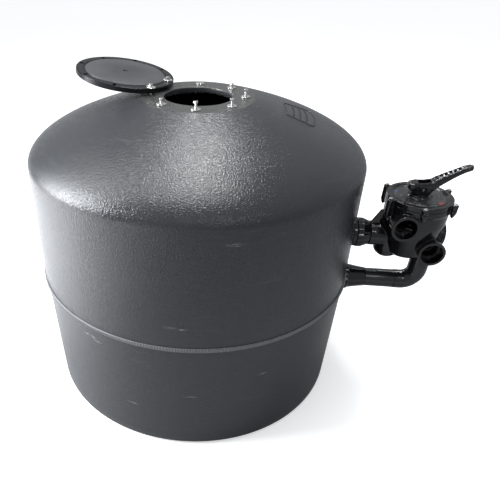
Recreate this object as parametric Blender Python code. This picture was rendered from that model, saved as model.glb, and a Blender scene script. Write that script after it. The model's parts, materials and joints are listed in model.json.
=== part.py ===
"""Plastic sand filter tank for a swimming pool, with a multiport valve on its side.

Frame: metres, +Z up, origin at the centre of the tank's base, the two wall ports on +X.
The tank is two moulded shells welded together. The filling lid is off its opening and
rests tilted beside it, held by two of the loosened lid bolts.
"""

import math

import bmesh
import bpy
from mathutils import Matrix, Vector

# ---------------------------------------------------------------- driving dimensions
BASE_R = 0.4229  # tank radius just above the floor
SEAM_Z = 0.3480  # height of the seam between the two shells
SEAM_R_LOW = 0.4285  # outer radius of the lower shell at the seam
SEAM_R_UP = 0.4305  # outer radius of the upper shell at the seam
WALL_TOP_Z, WALL_TOP_R = 0.6530, 0.4247  # where the wall turns into the shoulder
NECK_Z, NECK_R = 0.7900, 0.1389  # flat land round the filling opening
OPEN_R = 0.0828  # filling opening
SHOULDER_K1, SHOULDER_K2, DOME_SLOPE = 0.0677, 0.0179, math.radians(13.6)
WALL = 0.0080
GAP = 0.0003  # clearance between neighbouring pieces

BOLT_R = 0.1148  # bolt circle of the neck
BOLT_PHASE = math.radians(2.5)
BOLT_PLACES = (-3, -2, -1, 0, 1, 3, 4)  # the place at +2 has lost its bolt
BOLT_HEAD_Z = {-3: 0.8000, -2: 0.8045, -1: 0.8035, 0: 0.8045, 1: 0.7965}  # each loosened bolt stands at its own height
PARKED = (3, 4)  # bolts that pass through the parked lid

LID_CENTRE = Vector((-0.1930, 0.0797, 0.8205))  # centre of the lid's top rim plane
LID_NORMAL = Vector((0.1460, -0.0367, 1.0)).normalized()
LID_R, LID_T = 0.1231, 0.0115
SPIGOT_R, SPIGOT_H = 0.0790, 0.0065
LID_SLOT_R, LID_SLOT = 0.1136, (0.0150, 0.0100)  # radial slots for the bolts

PORT_UP_Z, PORT_LOW_Z = 0.4460, 0.3000
PAD_X = 0.4330  # flat outer face of the wall pads
PAD_IN_X = 0.4160
PAD_R = 0.0400
PORT_HOLE_R = 0.0300

VALVE_X = 0.5880  # valve axis, parallel to Z
BOTTOM_PORT_X = 0.6405
SEAT_Z = 0.4850  # top of the chamber walls, under the spider gasket
FLANGE_Z = 0.5515  # top of the valve body
COVER_Z = 0.5520
SCREW_R, SCREW_PHASE = 0.0912, math.radians(-36.0)
FRONT_Y = -0.0880  # face of the two open ports in front
PORT_B = (0.5464, 0.5056)  # x, z of the pump port
PORT_C = (0.6310, 0.4373)  # x, z of the return port
WASTE_X, WASTE_Z = 0.6740, 0.4550  # face and height of the waste port, on +X
HANDLE_PHI = math.radians(-6.0)
PIN_Z = 0.5844
LIFT = 0.0052  # how far the rotor rises when the handle is pressed

# ---------------------------------------------------------------- scene and materials
for old in list(bpy.data.objects):
    bpy.data.objects.remove(old, do_unlink=True)

MATERIALS = {}


def material(name, colour, rough, metal=0.0):
    m = bpy.data.materials.new(name)
    m.use_nodes = True
    shader = m.node_tree.nodes["Principled BSDF"]
    shader.inputs["Base Color"].default_value = (*colour, 1.0)
    shader.inputs["Roughness"].default_value = rough
    shader.inputs["Metallic"].default_value = metal
    m.diffuse_color = (*colour, 1.0)
    MATERIALS[name] = m


material("tank_plastic", (0.045, 0.047, 0.052), 0.42)
material("weld_plastic", (0.060, 0.062, 0.066), 0.35)
material("lid_plastic", (0.030, 0.031, 0.034), 0.30)
material("gloss_plastic", (0.010, 0.010, 0.011), 0.18)
material("pipe_plastic", (0.014, 0.014, 0.016), 0.22)
material("inner_plastic", (0.022, 0.022, 0.024), 0.50)
material("rubber", (0.018, 0.018, 0.018), 0.70)
material("steel", (0.72, 0.72, 0.70), 0.25, 1.0)


# ---------------------------------------------------------------- modelling helpers
def finish_mesh(bm, name, mat, smooth=35.0):
    bmesh.ops.recalc_face_normals(bm, faces=bm.faces)
    mesh = bpy.data.meshes.new(name)
    bm.to_mesh(mesh)
    bm.free()
    mesh.materials.append(MATERIALS[mat])
    shade(mesh, smooth)
    return mesh


def shade(mesh, smooth=35.0):
    mesh.shade_smooth()
    mesh.set_sharp_from_angle(angle=math.radians(smooth))


def add(name, mesh, location=(0, 0, 0), rotation=(0, 0, 0), parent=None):
    obj = bpy.data.objects.new(name, mesh)
    bpy.context.scene.collection.objects.link(obj)
    base = Vector(parent.location) if parent else Vector((0, 0, 0))
    obj.location = Vector(location) - base
    obj.rotation_euler = rotation
    obj.parent = parent
    return obj


def empty(name, location):
    obj = bpy.data.objects.new(name, None)
    bpy.context.scene.collection.objects.link(obj)
    obj.location = location
    return obj


def skin(bm, rings, closed_loop):
    """Quads between rings of vertices; a ring of one vertex is a pole."""
    pairs = list(zip(rings, rings[1:]))
    if closed_loop:
        pairs.append((rings[-1], rings[0]))
    for a, b in pairs:
        n = max(len(a), len(b))
        if n == 1:
            continue
        for i in range(n):
            j = (i + 1) % n
            if len(a) == 1:
                bm.faces.new((a[0], b[j], b[i]))
            elif len(b) == 1:
                bm.faces.new((a[i], a[j], b[0]))
            else:
                bm.faces.new((a[i], a[j], b[j], b[i]))


def lathe_mesh(name, profile, mat, segs=24, turn=0.0, smooth=35.0):
    """A profile of (radius, height) turned about local Z. It closes on itself, or on the axis."""
    bm = bmesh.new()
    rings = []
    for r, h in profile:
        if r < 1e-7:
            rings.append([bm.verts.new((0, 0, h))])
        else:
            rings.append(
                [
                    bm.verts.new((r * math.cos(turn + 2 * math.pi * i / segs), r * math.sin(turn + 2 * math.pi * i / segs), h))
                    for i in range(segs)
                ]
            )
    on_axis = profile[0][0] < 1e-7 and profile[-1][0] < 1e-7
    skin(bm, rings, not on_axis)
    return finish_mesh(bm, name, mat, smooth)


def lathe(name, profile, mat, segs=24, location=(0, 0, 0), rotation=(0, 0, 0), parent=None, turn=0.0):
    return add(name, lathe_mesh(name, profile, mat, segs, turn), location, rotation, parent)


def rod(name, radius, length, mat="gloss_plastic", segs=20, location=(0, 0, 0), rotation=(0, 0, 0)):
    return lathe(name, [(0, 0), (radius, 0), (radius, length), (0, length)], mat, segs, location, rotation)


def block(name, size, location, rotation=(0, 0, 0), mat="gloss_plastic"):
    bm = bmesh.new()
    bmesh.ops.create_cube(bm, size=1.0, matrix=Matrix.Diagonal((*size, 1.0)))
    return add(name, finish_mesh(bm, name, mat), location, rotation)


def wedge(name, centre, mid, half, r_in, r_out, z0, z1, mat="gloss_plastic", steps=5):
    """A sector of a ring between two radii and two heights."""
    bm = bmesh.new()
    outline = [(r_in, mid - half), (r_in, mid + half)]
    outline += [(r_out, mid + half - 2 * half * i / (steps - 1)) for i in range(steps)]
    loops = [
        [bm.verts.new((centre[0] + r * math.cos(a), centre[1] + r * math.sin(a), z)) for r, a in outline]
        for z in (z0, z1)
    ]
    skin(bm, [loops[0], loops[1]], False)
    bm.faces.new(loops[0])
    bm.faces.new(list(reversed(loops[1])))
    return add(name, finish_mesh(bm, name, mat))


def prism(name, outline, half, mat="gloss_plastic"):
    """An outline of (x, z) given thickness along Y."""
    bm = bmesh.new()
    loops = [[bm.verts.new((x, y, z)) for x, z in outline] for y in (-half, half)]
    skin(bm, loops, False)
    bm.faces.new(loops[0])
    bm.faces.new(loops[1][::-1])
    return add(name, finish_mesh(bm, name, mat))


def pipe_mesh(name, path, outer, inner, mat, segs=20):
    """A pipe along a path in the XZ plane; outer and inner are radii per point, inner None for a solid rod."""
    bm = bmesh.new()
    points = [Vector(p) for p in path]
    outers, inners = [], []
    for i, p in enumerate(points):
        ahead = points[min(i + 1, len(points) - 1)] - points[max(i - 1, 0)]
        t = ahead.normalized()
        side = Vector((0, 1, 0))
        if abs(t.y) > 0.3:
            side = Vector((0, 0, 1))
        up = side.cross(t).normalized()
        side = t.cross(up)
        ring = lambda rad: [
            bm.verts.new(p + rad * (math.cos(2 * math.pi * k / segs) * side + math.sin(2 * math.pi * k / segs) * up))
            for k in range(segs)
        ]
        outers.append(ring(outer[i]))
        if inner:
            inners.append(ring(inner[i]))
    if inner:
        skin(bm, outers + inners[::-1], True)
    else:
        skin(bm, outers, False)
        bm.faces.new(outers[0])
        bm.faces.new(outers[-1][::-1])
    return finish_mesh(bm, name, mat)


def combine(obj, other, operation):
    """One Boolean, applied, and the second object taken away."""
    bpy.context.view_layer.update()
    mod = obj.modifiers.new("cut", "BOOLEAN")
    mod.operation = operation
    mod.solver = "EXACT"
    mod.object = other
    graph = bpy.context.evaluated_depsgraph_get()
    mesh = bpy.data.meshes.new_from_object(obj.evaluated_get(graph))
    obj.modifiers.clear()
    mat = obj.data.materials[0]
    mesh.materials.clear()
    mesh.materials.append(mat)
    for poly in mesh.polygons:
        poly.material_index = 0
    bm = bmesh.new()
    bm.from_mesh(mesh)
    bmesh.ops.remove_doubles(bm, verts=bm.verts, dist=2e-6)
    bm.to_mesh(mesh)
    bm.free()
    shade(mesh)
    obj.data = mesh
    bpy.data.objects.remove(other, do_unlink=True)
    return obj


def cut(obj, *others):
    for other in others:
        combine(obj, other, "DIFFERENCE")
    return obj


def join(obj, *others):
    for other in others:
        combine(obj, other, "UNION")
    return obj


def ring_profile(r, z, half_r, half_z, n=8):
    """The section of a round seal."""
    return [
        (r + half_r * math.cos(2 * math.pi * (i + 0.5) / n), z + half_z * math.sin(2 * math.pi * (i + 0.5) / n))
        for i in range(n)
    ]


def arc(cx, cz, r, a0, a1, n):
    """Points on an arc in the XZ plane, angles in degrees."""
    return [
        (cx + r * math.cos(math.radians(a0 + (a1 - a0) * i / n)), 0.0, cz + r * math.sin(math.radians(a0 + (a1 - a0) * i / n)))
        for i in range(n + 1)
    ]


TO_X = (0, math.pi / 2, 0)  # local Z along +X
TO_FRONT = (math.pi / 2, 0, 0)  # local Z along -Y
TO_BACK = (-math.pi / 2, 0, 0)  # local Z along +Y


# ---------------------------------------------------------------- tank shells
def shoulder_points(count):
    """The dome: a cubic curve from the top of the wall to the rim of the neck land."""
    a = Vector((WALL_TOP_R, WALL_TOP_Z))
    wall = (a - Vector((SEAM_R_UP, SEAM_Z))).normalized()
    b = Vector((NECK_R, NECK_Z))
    down = Vector((math.cos(DOME_SLOPE), -math.sin(DOME_SLOPE)))
    p1, p2 = a + wall * SHOULDER_K1, b + down * SHOULDER_K2
    points = []
    for i in range(count + 1):
        t = i / count
        points.append((1 - t) ** 3 * a + 3 * (1 - t) ** 2 * t * p1 + 3 * (1 - t) * t * t * p2 + t**3 * b)
    return points


def offset(points, distance):
    """Each point moved square to the curve, towards the inside of the tank."""
    out = []
    for i, p in enumerate(points):
        d = points[min(i + 1, len(points) - 1)] - points[max(i - 1, 0)]
        n = Vector((-d.y, d.x)).normalized()
        out.append(p + n * distance)
    return out


outer_dome = shoulder_points(9)
inner_dome = offset(shoulder_points(5), WALL)
upper_profile = [(SEAM_R_UP, SEAM_Z + GAP)]
upper_profile += [(p.x, p.y) for p in outer_dome]
upper_profile += [(OPEN_R + 0.0020, NECK_Z), (OPEN_R, NECK_Z - 0.0020), (OPEN_R, 0.7780), (0.1420, 0.7780)]
upper_profile += [(p.x, p.y) for p in reversed(inner_dome[:-1]) if p.x > 0.160]
upper_profile += [(SEAM_R_UP - WALL, SEAM_Z + GAP)]
upper = lathe("tank_upper_shell", upper_profile, "tank_plastic", 36)

lower_profile = [
    (0, 0.0), (0.4150, 0.0), (0.4205, 0.0030), (BASE_R, 0.0100),
    (SEAM_R_LOW, SEAM_Z), (SEAM_R_LOW - WALL, SEAM_Z), (0.4149, 0.0160), (0.4100, 0.0090), (0, 0.0090),
]
lower = lathe("tank_lower_shell", lower_profile, "tank_plastic", 36)

for shell, z in ((upper, PORT_UP_Z), (lower, PORT_LOW_Z)):
    join(shell, rod("pad", PAD_R, PAD_X - PAD_IN_X, "tank_plastic", 16, (PAD_IN_X, 0, z), TO_X))
    cut(shell, rod("hole", PORT_HOLE_R, 0.06, "tank_plastic", 18, (0.39, 0, z), TO_X))

bead = [(SEAM_R_UP + GAP, 0.3420), (0.4335, 0.3420), (0.4348, 0.3480), (0.4335, 0.3540), (SEAM_R_UP + GAP, 0.3540)]
lathe("seam_weld_bead", bead, "weld_plastic", 36)

# ---------------------------------------------------------------- neck: backing ring, washers, bolts
def around(k, radius=BOLT_R):
    a = BOLT_PHASE + k * math.pi / 4
    return radius * math.cos(a), radius * math.sin(a)


backing = lathe("backing_ring", [(0.1000, 0.7700), (0.1290, 0.7700), (0.1290, 0.7776), (0.1000, 0.7776)], "steel", 24)
for k in range(8):
    x, y = around(k)
    join(backing, rod("boss", 0.0060, 0.0165, "steel", 8, (x, y, 0.7735)))
    cut(upper, rod("hole", 0.0068, 0.04, "tank_plastic", 8, (x, y, 0.76)))
    cut(backing, rod("hole", 0.0036, 0.04, "steel", 8, (x, y, 0.76)))

WASHER = [(0.0039, 0), (0.0118, 0), (0.0118, 0.0012), (0.0111, 0.0017), (0.0039, 0.0017)]
washer_mesh = lathe_mesh("washer", WASHER, "steel", 10)
lid_turn = LID_NORMAL.to_track_quat("Z", "Y").to_euler()
lid_axis = empty("lid_axis", LID_CENTRE)


def on_lid(x, y, lift=0.0):
    """The point of the lid's rim plane above a place on the neck."""
    d = Vector((x, y, 0)) - Vector((LID_CENTRE.x, LID_CENTRE.y, 0))
    z = LID_CENTRE.z - (LID_NORMAL.x * d.x + LID_NORMAL.y * d.y) / LID_NORMAL.z
    return Vector((x, y, z)) + LID_NORMAL * lift


for number, k in enumerate((-3, -2, -1, 0, 1, 2, 3, 4), 1):
    x, y = around(k)
    if k in PARKED:
        p = on_lid(x, y, GAP)
        wide = lathe_mesh("washer_on_lid", [(0.0042, 0), *WASHER[1:4], (0.0042, 0.0017)], "steel", 10)
        add("lid_washer_%d" % number, wide, p, lid_turn, lid_axis)
    else:
        add("lid_washer_%d" % number, washer_mesh, (x, y, NECK_Z + GAP))


def hex_bolt_mesh(name, shank_r, shank, across, head, segs=12):
    """Hexagon head above z = 0 and a round shank below it, with its end chamfered."""
    bm = bmesh.new()
    corner = across / 2 / math.cos(math.pi / 6)

    def ring(z, radius, hexed):
        out = []
        for i in range(segs):
            a = 2 * math.pi * i / segs
            r = radius if not hexed or segs == 6 or i % 2 == 0 else radius * math.cos(math.pi / 6)
            out.append(bm.verts.new((r * math.cos(a), r * math.sin(a), z)))
        return out

    rings = [
        [bm.verts.new((0, 0, head))],
        ring(head, corner * 0.94, True),
        ring(head * 0.84, corner, True),
        ring(0, corner, True),
        ring(0, shank_r, False),
        ring(-shank, shank_r, False),
        [bm.verts.new((0, 0, -shank))],
    ]
    skin(bm, rings, False)
    return finish_mesh(bm, name, "steel", 25.0)


bolt_mesh = hex_bolt_mesh("hex_bolt", 0.0030, 0.0330, 0.0100, 0.0040)
for number, k in enumerate(BOLT_PLACES, 1):
    x, y = around(k)
    z = BOLT_HEAD_Z.get(k, 0.0)
    if k in PARKED:
        z = on_lid(x, y).z + 0.0042
    add("lid_bolt_%d" % number, bolt_mesh, (x, y, z), (0, 0, 0.35 * k), lid_axis if k in PARKED else None)

# ---------------------------------------------------------------- lid, parked beside the opening
LID_PROFILE = [
    (0, 0.0032), (0.060, 0.0025), (0.0935, 0.0010), (0.0955, -0.0012), (0.0990, -0.0012), (0.1005, 0.0),
    (LID_R - 0.0012, 0.0), (LID_R, -0.0014), (LID_R, -LID_T + 0.0010), (LID_R - 0.0010, -LID_T),
    (0.0970, -LID_T), (0.0970, -LID_T + 0.0042), (0.0910, -LID_T + 0.0042), (0.0910, -LID_T), (SPIGOT_R, -LID_T),
    (SPIGOT_R - 0.0010, -LID_T - SPIGOT_H), (0.0700, -LID_T - SPIGOT_H), (0.0690, -0.0060), (0, -0.0040),
]
lid = lathe("lid", LID_PROFILE, "lid_plastic", 28, LID_CENTRE, lid_turn, lid_axis)
bpy.context.view_layer.update()
to_lid = lid.matrix_world.inverted()
local = [to_lid @ on_lid(*around(k)) for k in PARKED]
middle = sum(math.atan2(p.y, p.x) for p in local) / 2
for i in range(8):
    a = middle + math.pi / 8 + i * math.pi / 4
    p = Vector((LID_SLOT_R * math.cos(a), LID_SLOT_R * math.sin(a), -0.006))
    slot_turn = (lid.matrix_world.to_3x3() @ Matrix.Rotation(a, 3, "Z")).to_euler()
    cut(lid, block("slot", (*LID_SLOT, 0.03), lid.matrix_world @ p, slot_turn, "lid_plastic"))
lathe("lid_oring", ring_profile(0.0940, -0.0100, 0.0025, 0.0024, 6), "rubber", 28, LID_CENTRE, lid_turn, lid_axis)


# ---------------------------------------------------------------- wall fittings
def wall_fitting(prefix, z, flange_r, profile, nut_r):
    lathe(prefix + "_gasket", [(0.0305, 0), (flange_r, 0), (flange_r, 0.0030), (0.0305, 0.0030)], "rubber", 18, (PAD_X + GAP, 0, z), TO_X)
    lathe(prefix + "_bulkhead", profile, "gloss_plastic", 18, (0, 0, z), TO_X)
    # six flats' worth of ribs on the nut that pulls the fitting to the wall
    nut = [(0.0303, 0.4055), (nut_r - 0.002, 0.4055), (nut_r, 0.4070), (nut_r, PAD_IN_X - GAP), (0.0303, PAD_IN_X - GAP)]
    lathe(prefix + "_locknut", nut, "gloss_plastic", 12, (0, 0, z), TO_X)


FACE_X = PAD_X + GAP + 0.0030 + GAP  # back of the bulkhead flanges
wall_fitting(
    "upper", PORT_UP_Z, 0.0390,
    [
        (0.0255, 0.3950), (0.0290, 0.3950), (0.0290, FACE_X), (0.0390, FACE_X), (0.0390, 0.4430), (0.0375, 0.4445),
        (0.0330, 0.4445), (0.0330, 0.4700), (0.0309, 0.4700), (0.0309, 0.4677), (0.0268, 0.4677), (0.0268, 0.4700),
        (0.0215, 0.4700), (0.0215, 0.4300), (0.0255, 0.4300),
    ],
    0.0385,
)
wall_fitting(
    "lower", PORT_LOW_Z, 0.0375,
    [
        (0.0255, 0.3950), (0.0290, 0.3950), (0.0290, FACE_X), (0.0375, FACE_X), (0.0375, 0.4480), (0.0360, 0.4530),
        (0.0310, 0.4700), (0.0280, 0.4900), (0.0272, 0.4970), (0.0252, 0.4970), (0.0252, 0.4720), (0.0215, 0.4720), (0.0215, 0.4300), (0.0255, 0.4300),
    ],
    0.0385,
)

# union between the tank's upper port and the valve
lathe("union_oring", ring_profile(0.02885, 0.4690, 0.0017, 0.0012, 6), "rubber", 18, (0, 0, PORT_UP_Z), TO_X)
lathe(
    "union_tail",
    [(0.0215, 0.4706), (0.0328, 0.4706), (0.0328, 0.4756), (0.0298, 0.4760), (0.0298, 0.4794), (0.0247, 0.4796), (0.0247, 0.5050), (0.0215, 0.5050)],
    "gloss_plastic", 18, (0, 0, PORT_UP_Z), TO_X,
)
union_axis = empty("union_axis", (0.4625, 0, PORT_UP_Z))
bm_nut = bmesh.new()
NUT_SEGS = 24
nut_profile = [
    (0.0339, 0.4452, 0), (0.0400, 0.4452, 1), (0.0400, 0.4600, 1), (0.0325, 0.4792, 0),
    (0.0303, 0.4792, 0), (0.0303, 0.4764, 0), (0.0339, 0.4764, 0),
]
nut_rings = []
for r, h, ribbed in nut_profile:
    ring = []
    for i in range(NUT_SEGS):
        a = 2 * math.pi * i / NUT_SEGS
        rr = r - (0.0012 if ribbed and i % 2 == 0 else 0.0)
        ring.append(bm_nut.verts.new((rr * math.cos(a), rr * math.sin(a), h - 0.4625)))
    nut_rings.append(ring)
skin(bm_nut, nut_rings, True)
add("union_nut", finish_mesh(bm_nut, "union_nut", "gloss_plastic"), (0.4625, 0, PORT_UP_Z), TO_X, union_axis)

# lower connection: tail pipe and a long bend up into the valve's bottom port
lathe(
    "lower_tail_pipe",
    [(0.0215, 0.4724), (0.0248, 0.4724), (0.0248, 0.4974), (0.0262, 0.4974), (0.0262, 0.5800), (0.0215, 0.5800)],
    "pipe_plastic", 18, (0, 0, PORT_LOW_Z), TO_X,
)
BEND = 0.0400
elbow_path = [(0.5560, 0, PORT_LOW_Z), (0.5802, 0, PORT_LOW_Z), (0.58025, 0, PORT_LOW_Z)]
elbow_path += arc(BOTTOM_PORT_X - BEND, PORT_LOW_Z + BEND, BEND, -90, 0, 5)
elbow_path += [(BOTTOM_PORT_X, 0, 0.3840), (BOTTOM_PORT_X, 0, 0.38405), (BOTTOM_PORT_X, 0, 0.4092)]
elbow_r = [0.0208, 0.0208] + [0.0270] * 8 + [0.0253, 0.0253]
elbow_in = [0.0185] * len(elbow_path)
elbow_path[2] = (0.5803, 0, PORT_LOW_Z)
add("elbow_pipe", pipe_mesh("elbow_pipe", elbow_path, elbow_r, elbow_in, "pipe_plastic", 18))

# ---------------------------------------------------------------- pipework inside the tank
up_path = [(0.4040, 0, PORT_UP_Z), (0.0500, 0, PORT_UP_Z)] + arc(0.0500, PORT_UP_Z + 0.05, 0.05, -90, -180, 4)[1:] + [(0, 0, 0.6100)]
add("diffuser_pipe", pipe_mesh("diffuser_pipe", up_path, [0.0250] * len(up_path), [0.0220] * len(up_path), "inner_plastic", 12))
down_path = [(0.4040, 0, PORT_LOW_Z), (0.0500, 0, PORT_LOW_Z)] + arc(0.0500, PORT_LOW_Z - 0.05, 0.05, 90, 180, 4)[1:] + [(0, 0, 0.0880)]
add("collector_pipe", pipe_mesh("collector_pipe", down_path, [0.0250] * len(down_path), [0.0220] * len(down_path), "inner_plastic", 12))

head = lathe(
    "diffuser_head",
    [
        (0.0258, 0.5900), (0.0290, 0.5900), (0.0290, 0.6200), (0.0750, 0.6340), (0.0750, 0.6740),
        (0, 0.6860), (0, 0.6820), (0.0710, 0.6710), (0.0710, 0.6370), (0.0220, 0.6240), (0.0220, 0.6104), (0.0258, 0.6104),
    ],
    "inner_plastic", 16,
)
for i in range(4):
    cut(head, block("slot", (0.17, 0.010, 0.022), (0, 0, 0.6540), (0, 0, math.pi / 8 + i * math.pi / 4)))

hub = lathe(
    "lateral_hub",
    [
        (0, 0.0500), (0.0450, 0.0520), (0.0450, 0.0980), (0.0330, 0.1080), (0.0330, 0.1180), (0.0258, 0.1180),
        (0.0258, 0.0875), (0.0220, 0.0875), (0.0220, 0.0600), (0, 0.0600),
    ],
    "inner_plastic", 16,
)
LATERAL = [
    (0, 0.3460), (0.0085, 0.3440), (0.0115, 0.3360), (0.0115, 0.0457), (0.0092, 0.0457),
    (0.0092, 0.0260), (0.0076, 0.0260), (0.0076, 0.3380), (0, 0.3390),
]
lateral_mesh = lathe_mesh("lateral", LATERAL, "inner_plastic", 8)
for i in range(8):
    a = math.pi / 8 + i * math.pi / 4
    cut(hub, rod("hole", 0.0099, 0.040, "inner_plastic", 8, (0.0150 * math.cos(a), 0.0150 * math.sin(a), 0.0750), (0, math.pi / 2, a)))
    add("lateral_%d" % (i + 1), lateral_mesh, (0, 0, 0.0750), (0, math.pi / 2, a))

# ---------------------------------------------------------------- multiport valve: body
V = (VALVE_X, 0, 0)


def lug(angle, z0, z1):
    """The web that ties a screw ear to the flange behind it."""
    r_in, r_out = 0.0792, SCREW_R - 0.0010
    mid = (r_in + r_out) / 2
    size = (r_out - r_in, 0.0124, z1 - z0)
    return block("lug", size, (VALVE_X + mid * math.cos(angle), mid * math.sin(angle), (z0 + z1) / 2), (0, 0, angle))


body = lathe(
    "valve_body",
    [
        (0, 0.4000), (0.0500, 0.4000), (0.0600, 0.4100), (0.0760, 0.4700), (0.0810, 0.5000), (0.0815, 0.5320),
        (0.0840, 0.5360), (0.0840, FLANGE_Z), (0, FLANGE_Z),
    ],
    "gloss_plastic", 24, V,
)
join(
    body,
    # chamber behind the tank port, with a rounded bottom
    lathe("c1", [(0, 0.3810), (0.0160, 0.3830), (0.0280, 0.3900), (0.0355, 0.4050), (0.0355, 0.4900), (0, 0.5160)], "gloss_plastic", 16, (0.5380, 0, 0)),
    # chamber over the bottom port
    lathe("c2", [(0, 0.3850), (0.0310, 0.3850), (0.0335, 0.3880), (0.0335, 0.4900), (0, 0.5160)], "gloss_plastic", 16, (BOTTOM_PORT_X, 0, 0)),
    # the four sockets
    rod("pa", 0.0335, 0.0650, "gloss_plastic", 16, (0.4802, 0, PORT_UP_Z), TO_X),
    lathe("pb", [(0, 0), (0.0355, 0), (0.0355, 0.0090), (0.0340, 0.0100), (0.0340, 0.0550), (0, 0.0550)], "gloss_plastic", 16, (PORT_B[0], FRONT_Y, PORT_B[1]), TO_BACK),
    lathe("pc", [(0, 0), (0.0345, 0), (0.0345, 0.0090), (0.0330, 0.0100), (0.0330, 0.0700), (0, 0.0700)], "gloss_plastic", 16, (PORT_C[0], FRONT_Y, PORT_C[1]), TO_BACK),
    lathe("pd", [(0, -0.0450), (0.0330, -0.0450), (0.0330, -0.0090), (0.0345, -0.0080), (0.0345, 0), (0, 0)], "gloss_plastic", 16, (WASTE_X, 0, WASTE_Z), TO_X),
    # rib from the tank port up to the body
    prism("rib", [(0.4806, 0.4700), (0.4806, 0.4820), (0.4995, 0.5170), (0.5300, 0.5180), (0.5300, 0.4700)], 0.0030),
)
for i in range(6):
    a = SCREW_PHASE + i * math.pi / 3
    x, y = VALVE_X + SCREW_R * math.cos(a), SCREW_R * math.sin(a)
    low = 0.5150 if math.cos(a) < -0.5 else 0.5330
    join(body, lathe("ear", [(0, low - 0.0060), (0.0045, low), (0.0082, low + 0.0110), (0.0082, FLANGE_Z - 0.0002), (0, FLANGE_Z - 0.0002)], "gloss_plastic", 8, (x, y, 0)))
    join(body, lug(a, low + 0.0065, FLANGE_Z - 0.0005))
cut(
    body,
    rod("chamber", 0.0718, 0.0800, "gloss_plastic", 24, (VALVE_X, 0, SEAT_Z)),
    lathe("groove", [(0.0745, FLANGE_Z - 0.0027), (0.0785, FLANGE_Z - 0.0027), (0.0785, FLANGE_Z + 0.01), (0.0745, FLANGE_Z + 0.01)], "gloss_plastic", 24, V),
)
for i in range(6):
    a = SCREW_PHASE + i * math.pi / 3
    x, y = VALVE_X + SCREW_R * math.cos(a), SCREW_R * math.sin(a)
    cut(body, rod("hole", 0.0036, 0.0160, "gloss_plastic", 6, (x, y, FLANGE_Z - 0.0150), (0, 0, a)))
# passages: the pump port opens above the seat, the others below it
for mid, half in ((0, 15), (60, 22), (-60, 25), (180, 25)):
    cut(body, wedge("pocket", (VALVE_X, 0), math.radians(mid), math.radians(half), 0.0170, 0.0620, 0.4420, SEAT_Z + 0.0005, steps=4))
cut(body, lathe("bore", [(0, -0.001), (0.0275, -0.001), (0.0275, 0.0280), (0.0210, 0.0285), (0.0210, 0.0560), (0, 0.0560)], "gloss_plastic", 14, (PORT_C[0], FRONT_Y, PORT_C[1]), TO_BACK))
cut(body, lathe("bore", [(0, -0.0180), (0.0275, -0.0180), (0.0275, 0.001), (0, 0.001)], "gloss_plastic", 14, (WASTE_X, 0, WASTE_Z), TO_X))
cut(body, rod("passage", 0.0075, 0.0465, "gloss_plastic", 10, (0.6600, 0.0215, 0.4655), (0, math.pi / 2, math.atan2(0.0230, -0.0400))))
cut(body, lathe("bore", [(0, -0.001), (0.0275, -0.001), (0.0275, 0.0250), (0.0210, 0.0255), (0.0210, 0.0420), (0, 0.0420)], "gloss_plastic", 14, (PORT_B[0], FRONT_Y, PORT_B[1]), TO_BACK))
cut(body, lathe("bore", [(0, 0), (0.0251, 0), (0.0251, 0.0258), (0.0190, 0.0263), (0.0190, 0.0630), (0, 0.0630)], "gloss_plastic", 18, (0.4798, 0, PORT_UP_Z), TO_X))
cut(body, lathe("bore", [(0, 0.3800), (0.0262, 0.3800), (0.0262, 0.4096), (0.0200, 0.4100), (0.0200, 0.4480), (0, 0.4480)], "gloss_plastic", 18, (BOTTOM_PORT_X, 0, 0)))

# ---------------------------------------------------------------- multiport valve: seals and cover
spider = lathe("spider_gasket", [(0, 0), (0.0700, 0), (0.0700, 0.0030), (0, 0.0030)], "rubber", 24, (VALVE_X, 0, SEAT_Z + GAP))
for i in range(6):
    cut(spider, wedge("window", (VALVE_X, 0), i * math.pi / 3, math.radians(24), 0.0190, 0.0610, SEAT_Z - 0.01, SEAT_Z + 0.01, "rubber", 4))
lathe("cover_oring", ring_profile(0.0765, FLANGE_Z - 0.0012, 0.0017, 0.0012, 4), "rubber", 24, V)

cover = lathe(
    "valve_cover",
    [
        (0.0105, 0.5540), (0.0240, 0.5540), (0.0270, 0.5520), (0.0660, 0.5470), (0.0711, 0.5470), (0.0711, COVER_Z), (0.0843, COVER_Z),
        (0.0843, 0.5645), (0.0745, 0.5645), (0.0710, 0.5595), (0.0660, 0.5615), (0.0290, 0.5625),
        (0.0260, 0.5680), (0.0105, 0.5680),
    ],
    "gloss_plastic", 24, V,
)
screw_mesh = hex_bolt_mesh("cover_screw_mesh", 0.0030, 0.0255, 0.0100, 0.0042, 6)
for i in range(6):
    a = SCREW_PHASE + i * math.pi / 3
    x, y = VALVE_X + SCREW_R * math.cos(a), SCREW_R * math.sin(a)
    join(cover, lathe("ear", [(0, COVER_Z + 0.0002), (0.0082, COVER_Z + 0.0002), (0.0082, 0.5642), (0, 0.5642)], "gloss_plastic", 8, (x, y, 0)))
    join(cover, lug(a, COVER_Z + 0.0005, 0.5638))
    add("cover_screw_%d" % (i + 1), screw_mesh, (x, y, 0.5645), (0, 0, a))
for i in range(6):
    a = SCREW_PHASE + i * math.pi / 3
    cut(cover, rod("hole", 0.0036, 0.0300, "gloss_plastic", 6, (VALVE_X + SCREW_R * math.cos(a), SCREW_R * math.sin(a), 0.5450), (0, 0, a)))

# ---------------------------------------------------------------- turning and lifting parts
turn_axis = empty("valve_axis", V)
lift_axis = empty("lift_axis", V)
lathe("thrust_washer", [(0.0105, 0.5683), (0.0205, 0.5683), (0.0205, 0.5701), (0.0105, 0.5701)], "inner_plastic", 20, V, parent=turn_axis)

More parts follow.
